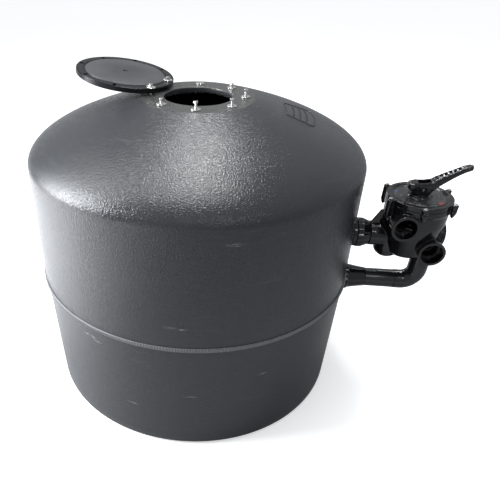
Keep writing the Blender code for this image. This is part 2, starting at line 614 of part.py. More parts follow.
rotor = lathe(
    "rotor",
    [
        (0, 0.4886), (0.0660, 0.4886), (0.0660, 0.4955), (0.0240, 0.4985), (0.0140, 0.5000), (0.0120, 0.5060), (0.0100, 0.5080),
        (0.0100, 0.5583), (0.0080, 0.5583), (0.0080, 0.5627), (0.0100, 0.5627), (0.0100, 0.5915), (0.0090, 0.5925), (0, 0.5925),
    ],
    "gloss_plastic", 24, V, parent=lift_axis,
)
# filtering position: the opening feeds the tank's upper port, the hollow below joins the bottom port to the return
cut(rotor, wedge("window", (VALVE_X, 0), math.pi, math.radians(22), 0.0260, 0.0580, 0.4800, 0.5050, steps=4))
cut(rotor, wedge("hollow", (VALVE_X, 0), math.radians(-30), math.radians(55), 0.0200, 0.0580, 0.4800, 0.4930, steps=7))
handle_dir = Vector((math.cos(HANDLE_PHI), math.sin(HANDLE_PHI), 0))
handle_side = Vector((-math.sin(HANDLE_PHI), math.cos(HANDLE_PHI), 0))
pin = Vector((VALVE_X, 0, PIN_Z))
ALONG_SIDE = (-math.pi / 2, 0, HANDLE_PHI)
cut(rotor, rod("hole", 0.0035, 0.0400, "gloss_plastic", 8, pin - handle_side * 0.02, ALONG_SIDE))
lathe("stem_oring", ring_profile(0.00905, 0.5605, 0.0009, 0.0019, 6), "rubber", 16, V, parent=lift_axis)
lathe("handle_pin", [(0, 0), (0.0026, 0), (0.0030, 0.0005), (0.0030, 0.0335), (0.0026, 0.0340), (0, 0.0340)], "steel", 8, pin - handle_side * 0.0170, ALONG_SIDE, lift_axis)

# compression spring round the stem, between the rotor and the cover
SPRING_R, WIRE_R, SPRING_Z0, SPRING_Z1, COILS, PER_COIL = 0.0175, 0.0016, 0.5030, 0.5520, 5, 12
bm_spring = bmesh.new()
spring_rings = []
for i in range(COILS * PER_COIL + 1):
    t = i / (COILS * PER_COIL)
    a = 2 * math.pi * COILS * t
    # the end coils lie flat
    rise = min(max((t * COILS - 0.5) / (COILS - 1.0), 0.0), 1.0)
    z = SPRING_Z0 + (SPRING_Z1 - SPRING_Z0) * (0.93 * rise + 0.07 * t)
    out = Vector((math.cos(a), math.sin(a), 0))
    centre = out * SPRING_R + Vector((0, 0, z))
    spring_rings.append(
        [
            bm_spring.verts.new(centre + WIRE_R * (math.cos(2 * math.pi * k / 4) * out + math.sin(2 * math.pi * k / 4) * Vector((0, 0, 1))))
            for k in range(4)
        ]
    )
skin(bm_spring, spring_rings, False)
bm_spring.faces.new(spring_rings[0])
bm_spring.faces.new(spring_rings[-1][::-1])
add("rotor_spring", finish_mesh(bm_spring, "rotor_spring", "steel", 70.0), V, (0, 0, 0), lift_axis)

# ---------------------------------------------------------------- handle
press_axis = empty("press_axis", pin)
# stations along the lever: distance from the pin, underside, top, half width
STATIONS = [
    (-0.0370, 0.0000, 0.0085, 0.0120), (-0.0340, -0.0040, 0.0120, 0.0150), (-0.0240, -0.0100, 0.0145, 0.0180), (-0.0190, -0.0140, 0.0153, 0.0180),
    (0.0000, -0.0140, 0.0170, 0.0180), (0.0177, -0.0140, 0.0215, 0.0180), (0.0230, -0.0030, 0.0265, 0.0172), (0.0400, 0.0140, 0.0385, 0.0155),
    (0.0600, 0.0312, 0.0502, 0.0135), (0.0750, 0.0428, 0.0590, 0.0118), (0.0860, 0.0503, 0.0650, 0.0110), (0.0955, 0.0555, 0.0675, 0.0098),
    (0.1028, 0.0590, 0.0660, 0.0065),
]
bm_lever = bmesh.new()
lever_rings = []
for u, z0, z1, w in STATIONS:
    c = min(0.28 * (z1 - z0), 0.35 * w)
    section = [(-w + c, z0), (w - c, z0), (w, z0 + c), (w, z1 - c), (w - c, z1), (-w + c, z1), (-w, z1 - c), (-w, z0 + c)]
    if -0.0200 < u < 0.0180:
        section = [(-w, z0), (w, z0), (w, z0 + c), (w, z1 - c), (w - c, z1), (-w + c, z1), (-w, z1 - c), (-w, z0 + c)]
    lever_rings.append([bm_lever.verts.new((u, v, z)) for v, z in section])
skin(bm_lever, lever_rings, False)
bm_lever.faces.new(lever_rings[0])
bm_lever.faces.new(lever_rings[-1][::-1])
handle = add("handle", finish_mesh(bm_lever, "handle", "gloss_plastic", 40.0), pin, (0, 0, HANDLE_PHI), press_axis)


def in_handle(u, z):
    return pin + handle_dir * u + Vector((0, 0, z))


cut(handle, block("slot", (0.0306, 0.0214, 0.0800), in_handle(0, 0), (0, 0, HANDLE_PHI)))
cut(handle, rod("hole", 0.0035, 0.0500, "gloss_plastic", 10, pin - handle_side * 0.025, ALONG_SIDE))
slope = math.atan2(0.0200, 0.0350)
for i in range(6):
    u = 0.0280 + i * 0.0096
    # depth of the pocket follows the lever's top between its stations
    a, b = next((a, b) for a, b in zip(STATIONS, STATIONS[1:]) if a[0] <= u <= b[0])
    t = (u - a[0]) / (b[0] - a[0])
    top, half = a[2] + t * (b[2] - a[2]), a[3] + t * (b[3] - a[3])
    cut(handle, block("pocket", (0.0066, 2 * half - 0.0090, 0.0080), in_handle(u, top + 0.0008), (0, -slope, HANDLE_PHI)))
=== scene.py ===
"""Fine model, materials, light and camera for the sand filter tank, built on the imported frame."""

import json
import math

import bmesh
import bpy
import numpy as np
from mathutils import Matrix, Vector

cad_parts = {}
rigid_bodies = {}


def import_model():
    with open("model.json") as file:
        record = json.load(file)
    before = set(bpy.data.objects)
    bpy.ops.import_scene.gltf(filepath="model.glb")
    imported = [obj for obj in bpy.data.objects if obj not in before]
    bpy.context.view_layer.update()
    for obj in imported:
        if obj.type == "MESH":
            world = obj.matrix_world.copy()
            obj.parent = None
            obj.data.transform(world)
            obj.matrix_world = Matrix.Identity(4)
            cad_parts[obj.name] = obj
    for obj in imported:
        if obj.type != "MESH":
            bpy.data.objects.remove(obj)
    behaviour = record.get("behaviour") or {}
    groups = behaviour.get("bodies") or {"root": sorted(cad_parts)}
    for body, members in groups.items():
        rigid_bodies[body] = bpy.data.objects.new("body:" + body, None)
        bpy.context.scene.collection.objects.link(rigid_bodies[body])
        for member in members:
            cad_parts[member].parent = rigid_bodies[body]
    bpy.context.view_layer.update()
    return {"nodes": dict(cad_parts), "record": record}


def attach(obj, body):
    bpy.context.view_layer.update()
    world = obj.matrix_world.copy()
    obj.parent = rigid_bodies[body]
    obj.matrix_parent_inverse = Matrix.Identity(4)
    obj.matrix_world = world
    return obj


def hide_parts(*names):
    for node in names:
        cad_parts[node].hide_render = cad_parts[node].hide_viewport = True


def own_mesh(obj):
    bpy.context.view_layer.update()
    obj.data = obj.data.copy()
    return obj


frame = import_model()
NODES = frame["nodes"]

# ---------------------------------------------------------------- places taken from the frame
PORT_UP_Z = 0.4460
PORT_LOW_Z = 0.3000
SEAM_Z = 0.3480
NECK_Z, NECK_R, OPEN_R = 0.7900, 0.1389, 0.0828
VALVE_X = 0.5880
BOTTOM_X = 0.6405
FLANGE_Z, COVER_Z, SEAT_Z = 0.5515, 0.5520, 0.4850
FRONT_Y = -0.0880
PORT_B, PORT_C = (0.5464, 0.5056), (0.6310, 0.4373)
WASTE_X, WASTE_Z = 0.6740, 0.4550
SCREW_R, SCREW_PHASE = 0.0912, math.radians(-36.0)
HANDLE_PHI, PIN_Z = math.radians(-6.0), 0.5844
LID_CENTRE = Vector((-0.1930, 0.0797, 0.8205))
LID_NORMAL = Vector((0.1460, -0.0367, 1.0)).normalized()
LID_R, LID_T = 0.1231, 0.0115
BOLT_R, BOLT_PHASE = 0.1148, math.radians(2.5)
BOLT_HEAD_Z = {-3: 0.8000, -2: 0.8045, -1: 0.8035, 0: 0.8045, 1: 0.7965}
PAD_X = 0.4330

TO_X = Matrix.Rotation(math.pi / 2, 4, "Y")
TO_FRONT = Matrix.Rotation(math.pi / 2, 4, "X")
TO_BACK = Matrix.Rotation(-math.pi / 2, 4, "X")


# ---------------------------------------------------------------- materials
class Tree:
    """Short calls for building a node tree."""

    def __init__(self, name):
        self.mat = bpy.data.materials.new(name)
        self.mat.use_nodes = True
        self.nt = self.mat.node_tree
        self.shader = self.nt.nodes["Principled BSDF"]
        self.coord = self.nt.nodes.new("ShaderNodeTexCoord").outputs["Object"]

    def link(self, a, b):
        self.nt.links.new(a, b)

    def put(self, socket, value):
        if hasattr(value, "is_output"):
            self.link(value, socket)
        else:
            socket.default_value = value

    def noise(self, scale, detail=2.0, rough=0.5, vector=None, distortion=0.0):
        n = self.nt.nodes.new("ShaderNodeTexNoise")
        n.inputs["Scale"].default_value = scale
        n.inputs["Detail"].default_value = detail
        n.inputs["Roughness"].default_value = rough
        n.inputs["Distortion"].default_value = distortion
        self.link(vector or self.coord, n.inputs["Vector"])
        return n.outputs["Fac"]

    def stretch(self, scale):
        n = self.nt.nodes.new("ShaderNodeVectorMath")
        n.operation = "MULTIPLY"
        self.link(self.coord, n.inputs[0])
        n.inputs[1].default_value = scale
        return n.outputs[0]

    def ramp(self, value, lo, hi, a=0.0, b=1.0, smooth=True):
        n = self.nt.nodes.new("ShaderNodeMapRange")
        n.clamp = True
        if smooth:
            n.interpolation_type = "SMOOTHSTEP"
        self.link(value, n.inputs["Value"])
        for key, v in (("From Min", lo), ("From Max", hi), ("To Min", a), ("To Max", b)):
            n.inputs[key].default_value = v
        return n.outputs["Result"]

    def math(self, op, a, b=0.0, clamp=False):
        n = self.nt.nodes.new("ShaderNodeMath")
        n.operation = op
        n.use_clamp = clamp
        self.put(n.inputs[0], a)
        self.put(n.inputs[1], b)
        return n.outputs[0]

    def mix(self, fac, a, b):
        n = self.nt.nodes.new("ShaderNodeMix")
        n.data_type = "RGBA"
        self.put(n.inputs[0], fac)
        for socket, v in ((n.inputs[6], a), (n.inputs[7], b)):
            if isinstance(v, tuple):
                v = (*v, 1.0)
            self.put(socket, v)
        return n.outputs[2]

    def distance(self, point, scale=(1.0, 1.0, 1.0)):
        n = self.nt.nodes.new("ShaderNodeVectorMath")
        n.operation = "DISTANCE"
        self.link(self.stretch(scale), n.inputs[0])
        n.inputs[1].default_value = tuple(p * s for p, s in zip(point, scale))
        return n.outputs["Value"]

    def axes(self):
        n = self.nt.nodes.new("ShaderNodeSeparateXYZ")
        self.link(self.coord, n.inputs[0])
        return n.outputs

    def bump(self, height, strength, distance, normal=None):
        n = self.nt.nodes.new("ShaderNodeBump")
        n.inputs["Strength"].default_value = strength
        n.inputs["Distance"].default_value = distance
        self.link(height, n.inputs["Height"])
        if normal:
            self.link(normal, n.inputs["Normal"])
        return n.outputs["Normal"]

    def finish(self, color, rough, normal=None, metal=0.0, coat=0.0, spec=0.5):
        s = self.shader.inputs
        self.put(s["Base Color"], (*color, 1.0) if isinstance(color, tuple) else color)
        self.put(s["Roughness"], rough)
        self.put(s["Metallic"], metal)
        s["Coat Weight"].default_value = coat
        s["Coat Roughness"].default_value = 0.08
        s["Specular IOR Level"].default_value = spec
        if normal:
            self.link(normal, s["Normal"])
        return self.mat


def tank_material():
    """Rotomoulded polyethylene: fine orange peel, cloudy gloss, dust, scuffs, and a browner machined land."""
    t = Tree("tank_skin")
    cloud = t.noise(5.0, 3.0, 0.55)
    peel = t.noise(330.0, 1.0, 0.5)
    # each grain of the skin is a little more or less shiny, which shows as fine glitter in the highlights
    glitter = t.ramp(t.noise(460.0, 0.0, 0.5), 0.32, 0.68, 0.36, 0.66)
    t.link(glitter, t.shader.inputs["Specular IOR Level"])
    grit = t.noise(700.0, 1.0, 0.5)
    base = t.mix(cloud, (0.022, 0.0235, 0.0265), (0.031, 0.033, 0.0365))
    # faint handling marks that run round the tank
    smear = t.ramp(t.noise(1.0, 4.0, 0.6, t.stretch((7.0, 7.0, 70.0))), 0.58, 0.82)
    base = t.mix(t.math("MULTIPLY", smear, 0.34), base, (0.075, 0.077, 0.082))
    # small pale rubs: a few at known places and a sparse scatter
    spots = None
    for point, size in (
        ((-0.017, -0.429, 0.411), 0.010), ((0.010, -0.430, 0.408), 0.007), ((-0.226, -0.363, 0.314), 0.015),
        ((-0.205, -0.376, 0.306), 0.010), ((0.028, -0.425, 0.189), 0.011), ((0.113, -0.410, 0.620), 0.013),
        ((-0.120, -0.400, 0.130), 0.012), ((0.200, -0.372, 0.240), 0.009),
    ):
        one = t.ramp(t.distance(point, (0.45, 0.45, 2.2)), size, size * 0.25)
        spots = one if spots is None else t.math("MAXIMUM", spots, one)
    ragged = t.ramp(t.noise(1.0, 3.0, 0.7, t.stretch((90.0, 90.0, 700.0))), 0.44, 0.66)
    spots = t.math("MULTIPLY", spots, ragged)
    scatter = t.ramp(t.noise(1.0, 2.0, 0.6, t.stretch((26.0, 26.0, 150.0))), 0.745, 0.83)
    marks = t.math("MAXIMUM", t.math("MULTIPLY", spots, 0.62), t.math("MULTIPLY", scatter, 0.26))
    base = t.mix(marks, base, (0.30, 0.31, 0.32))
    x, y, z = t.axes()[0], t.axes()[1], t.axes()[2]
    radius = t.math("SQRT", t.math("ADD", t.math("MULTIPLY", x, x), t.math("MULTIPLY", y, y)))
    land = t.math("MULTIPLY", t.ramp(radius, 0.1445, 0.1345), t.ramp(z, 0.7835, 0.7885))
    base = t.mix(t.math("MULTIPLY", land, 0.46), base, (0.064, 0.061, 0.055))
    rough = t.ramp(cloud, 0.3, 0.7, 0.14, 0.21)
    rough = t.math("ADD", rough, t.math("MULTIPLY", marks, 0.25), True)
    n = t.bump(peel, 0.95, 0.0012)
    n = t.bump(grit, 0.30, 0.0004, n)
    n = t.bump(t.noise(30.0, 2.0, 0.5), 0.06, 0.0040, n)
    return t.finish(base, rough, n)


def bead_material():
    t = Tree("weld_bead_skin_and_painted_sheen")
    tone = t.noise(60.0, 2.0)
    # the bead's base colour is several times lighter than the tank skin; part of that lightness is painted sheen
    # standing in for the light its ribs catch
    base = t.mix(tone, (0.098, 0.101, 0.108), (0.140, 0.143, 0.150))
    return t.finish(base, t.ramp(tone, 0.3, 0.7, 0.13, 0.22), t.bump(t.noise(700.0, 2.0), 0.2, 0.0005))


def lid_material():
    """Moulded lid: smooth centre that has gone greyer, with painted light making it lighter towards its edge, and a
    dark rim band.
    """
    t = Tree("lid_skin")
    local = t.nt.nodes.new("ShaderNodeMapping")
    local.vector_type = "TEXTURE"
    local.inputs["Location"].default_value = LID_CENTRE
    local.inputs["Rotation"].default_value = LID_NORMAL.to_track_quat("Z", "Y").to_euler()
    t.link(t.coord, local.inputs["Vector"])
    sep = t.nt.nodes.new("ShaderNodeSeparateXYZ")
    t.link(local.outputs[0], sep.inputs[0])
    x, y, z = sep.outputs
    radius = t.math("SQRT", t.math("ADD", t.math("MULTIPLY", x, x), t.math("MULTIPLY", y, y)))
    centre = t.math("MULTIPLY", t.ramp(radius, 0.1022, 0.1004), t.ramp(z, -0.0030, -0.0010))
    cloud = t.noise(22.0, 3.0, 0.6)
    # painted light: the top is made darker in the middle and lighter towards its edge, standing in for how the light
    # falls on it
    painted_lighter_edge = t.ramp(radius, 0.015, 0.090)
    grey = t.mix(t.math("MULTIPLY", t.math("ADD", painted_lighter_edge, cloud), 0.55, True), (0.018, 0.0185, 0.020), (0.052, 0.053, 0.056))
    dark = t.mix(cloud, (0.006, 0.006, 0.007), (0.011, 0.011, 0.012))
    base = t.mix(centre, dark, grey)
    spot = t.ramp(radius, 0.0082, 0.0068)
    base = t.mix(t.math("MULTIPLY", spot, 0.95), base, (0.006, 0.006, 0.007))
    rough = t.math("ADD", t.math("MULTIPLY", centre, 0.16), t.ramp(cloud, 0.3, 0.7, 0.20, 0.30), True)
    n = t.bump(t.noise(520.0, 2.0, 0.6), 0.20, 0.0006)
    level = t.math("ADD", t.math("MULTIPLY", centre, 0.14), 0.20)
    done = t.finish(base, rough, n)
    t.link(level, t.shader.inputs["Specular IOR Level"])
    return done


def gloss_material(name, lo, hi, r0, r1, coat=0.35):
    """Injection-moulded black plastic: high gloss with a slight flow wave, dust and hairlines."""
    t = Tree(name)
    cloud = t.noise(38.0, 3.0, 0.6)
    dust = t.ramp(t.noise(420.0, 3.0, 0.7), 0.66, 0.80)
    base = t.mix(cloud, lo, hi)
    base = t.mix(t.math("MULTIPLY", dust, 0.12), base, (0.16, 0.16, 0.16))
    hair = t.ramp(t.noise(1.0, 2.0, 0.5, t.stretch((900.0, 60.0, 240.0))), 0.70, 0.78)
    rough = t.ramp(cloud, 0.3, 0.7, r0, r1)
    rough = t.math("ADD", rough, t.math("MULTIPLY", t.math("MAXIMUM", dust, hair), 0.12), True)
    n = t.bump(t.noise(110.0, 2.0, 0.5), 0.34, 0.0014)
    n = t.bump(t.noise(700.0, 1.0, 0.5), 0.10, 0.0004, n)
    return t.finish(base, rough, n, coat=coat)


def plain_material(name, lo, hi, r0, r1, scale=120.0, bump=0.2):
    t = Tree(name)
    tone = t.noise(scale, 3.0, 0.6)
    return t.finish(t.mix(tone, lo, hi), t.ramp(tone, 0.3, 0.7, r0, r1), t.bump(t.noise(scale * 5, 2.0), bump, 0.0004))


def steel_material():
    """Bright stainless: turned and slightly stained."""
    t = Tree("stainless")
    tone = t.noise(260.0, 3.0, 0.6)
    grain = t.noise(1.0, 2.0, 0.5, t.stretch((300.0, 300.0, 2600.0)))
    base = t.mix(tone, (0.66, 0.66, 0.64), (0.86, 0.86, 0.84))
    n = t.bump(grain, 0.10, 0.0002)
    return t.finish(base, t.ramp(tone, 0.3, 0.7, 0.16, 0.30), n, metal=1.0)


def print_material(name, color, rough=0.35):
    """Printed or painted mark: the colour slightly uneven and worn."""
    t = Tree(name)
    tone = t.noise(300.0, 3.0, 0.6)
    faded = tuple(0.6 * c + 0.01 for c in color)
    return t.finish(t.mix(t.ramp(tone, 0.35, 0.7), faded, color), rough, t.bump(tone, 0.1, 0.0002))


TANK = tank_material()
BEAD = bead_material()
LID = lid_material()
GLOSS = gloss_material("valve_gloss", (0.0032, 0.0032, 0.0040), (0.0064, 0.0064, 0.0074), 0.09, 0.17, 0.15)
SATIN = gloss_material("handle_grip_satin", (0.010, 0.010, 0.011), (0.016, 0.016, 0.017), 0.24, 0.34, 0.0)
DISH = gloss_material("cover_satin", (0.009, 0.009, 0.010), (0.016, 0.016, 0.018), 0.20, 0.32, 0.1)
PIPE = gloss_material("pipe_gloss", (0.010, 0.010, 0.012), (0.017, 0.018, 0.020), 0.16, 0.26, 0.2)
INNER = plain_material("inner_moulding", (0.014, 0.014, 0.015), (0.024, 0.024, 0.026), 0.42, 0.56)
RUBBER = plain_material("black_rubber", (0.012, 0.012, 0.012), (0.022, 0.022, 0.022), 0.60, 0.78, 200.0, 0.3)
STEEL = steel_material()


# ---------------------------------------------------------------- mesh helpers
def new_object(name, verts, faces, mat, smooth=32.0, matrix=None):
    mesh = bpy.data.meshes.new(name)
    v = np.asarray(verts, float)
    mesh.from_pydata(v.tolist(), [], faces)
    if matrix is not None:
        mesh.transform(matrix)
    bm = bmesh.new()
    bm.from_mesh(mesh)
    bmesh.ops.recalc_face_normals(bm, faces=bm.faces)
    bm.to_mesh(mesh)
    bm.free()
    mesh.materials.append(mat)
    shade(mesh, smooth)
    obj = bpy.data.objects.new(name, mesh)
    bpy.context.scene.collection.objects.link(obj)
    return obj


def shade(mesh, smooth):
    mesh.shade_smooth()
    mesh.set_sharp_from_angle(angle=math.radians(smooth))


def lathe(name, profile, mat, segs=96, matrix=None, smooth=32.0):
    """A (radius, height) outline turned about local Z; it closes on itself, or on the axis."""
    verts, rings, faces = [], [], []
    for r, h in profile:
        if r < 1e-7:
            rings.append([len(verts)])
            verts.append((0, 0, h))
        else:
            first = len(verts)
            a = 2 * math.pi * np.arange(segs) / segs
            verts += list(zip(r * np.cos(a), r * np.sin(a), np.full(segs, h)))
            rings.append(list(range(first, first + segs)))
    pairs = list(zip(rings, rings[1:]))
    if not (profile[0][0] < 1e-7 and profile[-1][0] < 1e-7):
        pairs.append((rings[-1], rings[0]))
    for a, b in pairs:
        n = max(len(a), len(b))
        if n == 1:
            continue
        for i in range(n):
            j = (i + 1) % n
            if len(a) == 1:
                faces.append((a[0], b[j], b[i]))
            elif len(b) == 1:
                faces.append((a[i], a[j], b[0]))
            else:
                faces.append((a[i], a[j], b[j], b[i]))
    return new_object(name, verts, faces, mat, smooth, matrix)


def rounded(points, radius, steps=4, closed=True):
    """The outline with each corner rounded off."""
    pts = [Vector(p) for p in points]
    out, n = [], len(pts)
    for i, p in enumerate(pts):
        if not closed and i in (0, n - 1):
            out.append((p.x, p.y))
            continue
        a, b = pts[i - 1] - p, pts[(i + 1) % n] - p
        if a.length < 1e-6 or b.length < 1e-6:
            continue
        cut = min(radius, 0.45 * a.length, 0.45 * b.length)
        s, e = p + a.normalized() * cut, p + b.normalized() * cut
        if a.normalized().dot(b.normalized()) < -0.985:
            out.append((p.x, p.y))
            continue
        for k in range(steps + 1):
            t = k / steps
            q = (1 - t) ** 2 * s + 2 * t * (1 - t) * p + t * t * e
            out.append((max(q.x, 0.0), q.y))
    return out


def at(x=0.0, y=0.0, z=0.0):
    return Matrix.Translation((x, y, z))


def rod(name, radius, length, mat, matrix, segs=64):
    return lathe(name, [(0, 0), (radius, 0), (radius, length), (0, length)], mat, segs, matrix)


def block(name, size, matrix, mat):
    bm = bmesh.new()
    bmesh.ops.create_cube(bm, size=1.0, matrix=matrix @ Matrix.Diagonal((*size, 1.0)))
    mesh = bpy.data.meshes.new(name)
    bm.to_mesh(mesh)
    bm.free()
    mesh.materials.append(mat)
    obj = bpy.data.objects.new(name, mesh)
    bpy.context.scene.collection.objects.link(obj)
    return obj


def stadium(name, length, width, depth, matrix, mat, steps=10):
    """A slot with round ends, its length along X."""
    r = width / 2
    outline = []
    for sign in (1, -1):
        for k in range(steps + 1):
            t = math.pi * (k / steps - 0.5) + (0 if sign > 0 else math.pi)
            outline.append((sign * (length / 2 - r) + r * math.cos(t), r * math.sin(t)))
    n = len(outline)
    verts = [(x, y, z) for z in (-depth / 2, depth / 2) for x, y in outline]
    faces = [tuple(range(n - 1, -1, -1)), tuple(range(n, 2 * n))] + [(i, (i + 1) % n, n + (i + 1) % n, n + i) for i in range(n)]
    return new_object(name, verts, faces, mat, 32.0, matrix)


def prism(name, outline, half, mat):
    n = len(outline)
    verts = [(x, y, z) for y in (-half, half) for x, z in outline]
    faces = [tuple(range(n)), tuple(range(2 * n - 1, n - 1, -1))]
    faces += [(i, (i + 1) % n, n + (i + 1) % n, n + i) for i in range(n)]
    return new_object(name, verts, faces, mat)


def sector(name, mid, half, r_in, r_out, z0, z1, mat, centre=(VALVE_X, 0.0), steps=12):
    outline = [(r_in, mid - half + 2 * half * i / steps) for i in range(steps + 1)]
    outline += [(r_out, mid + half - 2 * half * i / steps) for i in range(steps + 1)]
    n = len(outline)
    verts = [(centre[0] + r * math.cos(a), centre[1] + r * math.sin(a), z) for z in (z0, z1) for r, a in outline]
    faces = [tuple(range(n)), tuple(range(2 * n - 1, n - 1, -1))]
    faces += [(i, (i + 1) % n, n + (i + 1) % n, n + i) for i in range(n)]
    return new_object(name, verts, faces, mat)


def boolean(obj, other, operation):
    mod = obj.modifiers.new("b", "BOOLEAN")
    mod.operation, mod.solver, mod.object = operation, "EXACT", other
    bpy.context.view_layer.update()
    mesh = bpy.data.meshes.new_from_object(obj.evaluated_get(bpy.context.evaluated_depsgraph_get()))
    obj.modifiers.clear()
    mat = obj.data.materials[0]
    mesh.materials.clear()
    mesh.materials.append(mat)
    mesh.polygons.foreach_set("material_index", np.zeros(len(mesh.polygons), np.int32))
    bm = bmesh.new()
    bm.from_mesh(mesh)
    bmesh.ops.remove_doubles(bm, verts=bm.verts, dist=2e-6)
    bm.to_mesh(mesh)
    bm.free()
    obj.data = mesh
    bpy.data.objects.remove(other, do_unlink=True)
    return obj


def cut(obj, *others):
    for o in others:
        boolean(obj, o, "DIFFERENCE")
    return obj


def join(obj, *others):
    for o in others:
        boolean(obj, o, "UNION")
    return obj


def soften(obj, voxel, rounds, factor=0.5):
    """Remeshes a moulded piece finely and eases every edge and inner corner, as a mould does."""
    mod = obj.modifiers.new("r", "REMESH")
    mod.mode, mod.voxel_size, mod.use_smooth_shade = "VOXEL", voxel, True
    ease = obj.modifiers.new("s", "SMOOTH")
    ease.factor, ease.iterations = factor, rounds
    bpy.context.view_layer.update()
    mesh = bpy.data.meshes.new_from_object(obj.evaluated_get(bpy.context.evaluated_depsgraph_get()))
    obj.modifiers.clear()
    mat = obj.data.materials[0]
    mesh.materials.clear()
    mesh.materials.append(mat)
    mesh.shade_smooth()
    obj.data = mesh
    return obj


def keep(obj, body, slot_name, *nodes):
    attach(obj, body)
    if nodes:
        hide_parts(*nodes)
    return obj


# ---------------------------------------------------------------- tank shells
def shoulder(count):
    a, b = Vector((0.4247, 0.6530)), Vector((NECK_R, NECK_Z))
    wall = (a - Vector((0.4305, SEAM_Z))).normalized()
    slope = math.radians(13.6)
    p1 = a + wall * 0.0677
    p2 = b + Vector((math.cos(slope), -math.sin(slope))) * 0.0179
    out = []
    for i in range(count + 1):
        t = i / count
        out.append((1 - t) ** 3 * a + 3 * (1 - t) ** 2 * t * p1 + 3 * (1 - t) * t * t * p2 + t**3 * b)
    return out


def inward(points, distance):
    out = []
    for i, p in enumerate(points):
        d = points[min(i + 1, len(points) - 1)] - points[max(i - 1, 0)]
        out.append(p + Vector((-d.y, d.x)).normalized() * distance)
    return out


def line(a, b, n):
    return [(a[0] + (b[0] - a[0]) * i / n, a[1] + (b[1] - a[1]) * i / n) for i in range(n)]


dome = shoulder(72)
profile = line((0.4305, SEAM_Z + 0.0003), (0.4247, 0.6530), 20) + [(p.x, p.y) for p in dome[:-1]]
profile += [(NECK_R + 0.0008, NECK_Z - 0.0001), (NECK_R - 0.0015, NECK_Z), (0.1148, NECK_Z), (OPEN_R + 0.0030, NECK_Z)]
profile += [(OPEN_R + 0.0030 - 0.0030 * math.sin(a), NECK_Z - 0.0030 + 0.0030 * math.cos(a)) for a in np.linspace(0.3, math.pi / 2, 6)]
profile += [(OPEN_R, 0.7780), (0.1420, 0.7780)]
profile += [(p.x, p.y) for p in reversed(inward(shoulder(30), 0.008)[:-1]) if p.x > 0.160]
profile += [(0.4225, SEAM_Z + 0.0003)]
upper = lathe("upper_shell_skin", profile, TANK, 256, smooth=26.0)
low = [(0, 0.0), (0.20, 0.0), (0.38, 0.0)]
low += [(0.4085 + 0.0140 * math.sin(a), 0.0140 - 0.0140 * math.cos(a)) for a in np.linspace(0, 1.50, 12)]
low += line((0.4230, 0.0150), (0.4285, SEAM_Z), 14) + [(0.4285, SEAM_Z), (0.4205, SEAM_Z), (0.4149, 0.0160), (0.4100, 0.0090), (0, 0.0090)]
lower = lathe("lower_shell_skin", low, TANK, 256, smooth=26.0)
for shell, z in ((upper, PORT_UP_Z), (lower, PORT_LOW_Z)):
    pad = lathe("pad", rounded([(0.0, 0.4180), (0.0400, 0.4180), (0.0400, PAD_X), (0.0, PAD_X)], 0.002, closed=False), TANK, 96, at(z=z) @ TO_X)
    join(shell, pad)
    cut(shell, rod("hole", 0.0300, 0.06, TANK, at(0.39, 0, z) @ TO_X))


def around(k, radius=BOLT_R):
    a = BOLT_PHASE + k * math.pi / 4
    return radius * math.cos(a), radius * math.sin(a)


for k in range(8):
    x, y = around(k)
    cut(upper, rod("hole", 0.0066, 0.04, TANK, at(x, y, 0.77), 32))
shade(upper.data, 26.0)
shade(lower.data, 26.0)
keep(upper, "tank", "tank_plastic", "tank_upper_shell")
keep(lower, "tank", "tank_plastic", "tank_lower_shell")

# the weld bead: extruded ribs laid side by side all round the seam
RIBS, PER = 396, 8
a = 2 * math.pi * np.arange(RIBS * PER) / (RIBS * PER)
across = np.linspace(-1.0, 1.0, 11)
verts = []
for s in across:
    crown = math.sqrt(max(1.0 - s * s, 0.0))
    wave = 0.5 + 0.5 * np.cos(RIBS * a + 1.2 * s + 0.5 * np.sin(37 * a))
    edge = 0.0005 * (abs(s) > 0.78)
    r = 0.4308 + 0.0038 * crown * (0.58 + 0.42 * wave) + edge
    z = SEAM_Z + 0.0060 * s + 0.0003 * np.sin(11 * a) * (1 - abs(s))
    verts += list(zip(r * np.cos(a), r * np.sin(a), z * np.ones_like(a)))
n = RIBS * PER
for s in (1.0, -1.0):
    verts += list(zip(0.4308 * np.cos(a), 0.4308 * np.sin(a), (SEAM_Z + 0.0060 * s) * np.ones_like(a)))
rows = len(across) + 2
faces = [(r * n + i, r * n + (i + 1) % n, ((r + 1) % rows) * n + (i + 1) % n, ((r + 1) % rows) * n + i) for r in range(rows) for i in range(n)]
keep(new_object("weld_bead_ribbed", verts, faces, BEAD, 60.0), "tank", "weld_plastic", "seam_weld_bead")


# ---------------------------------------------------------------- moulded panel on the dome, left blank
def on_dome(r, angle, lift):
    pts = DOME_TABLE
    z = float(np.interp(r, pts[:, 0], pts[:, 1]))
    slope = (float(np.interp(r + 0.002, pts[:, 0], pts[:, 1])) - float(np.interp(r - 0.002, pts[:, 0], pts[:, 1]))) / 0.004
    nx, nz = -slope / math.hypot(slope, 1.0), 1.0 / math.hypot(slope, 1.0)
    rr = r + nx * lift
    return (rr * math.cos(angle), rr * math.sin(angle), z + nz * lift)


DOME_TABLE = np.array([(p.x, p.y) for p in reversed(shoulder(400))])


def strip(name, path, width, low_lift, high_lift, mat):
    """A raised line that follows (distance across, distance outwards) points laid on the dome."""
    verts, faces = [], []
    pts = [Vector(p) for p in path]
    m = len(pts)
    for i, p in enumerate(pts):
        d = (pts[(i + 1) % m] - pts[i - 1]).normalized()
        side = Vector((-d.y, d.x)) * width / 2
        for q, lift in ((p - side, low_lift), (p - side * 0.6, high_lift), (p + side * 0.6, high_lift), (p + side, low_lift)):
            verts.append(on_dome(q.y, q.x / 0.25, lift))
    for i in range(m):
        j = (i + 1) % m
        faces += [(4 * i + k, 4 * j + k, 4 * j + (k + 1) % 4, 4 * i + (k + 1) % 4) for k in range(4)]
    return new_object(name, verts, faces, mat, 60.0)


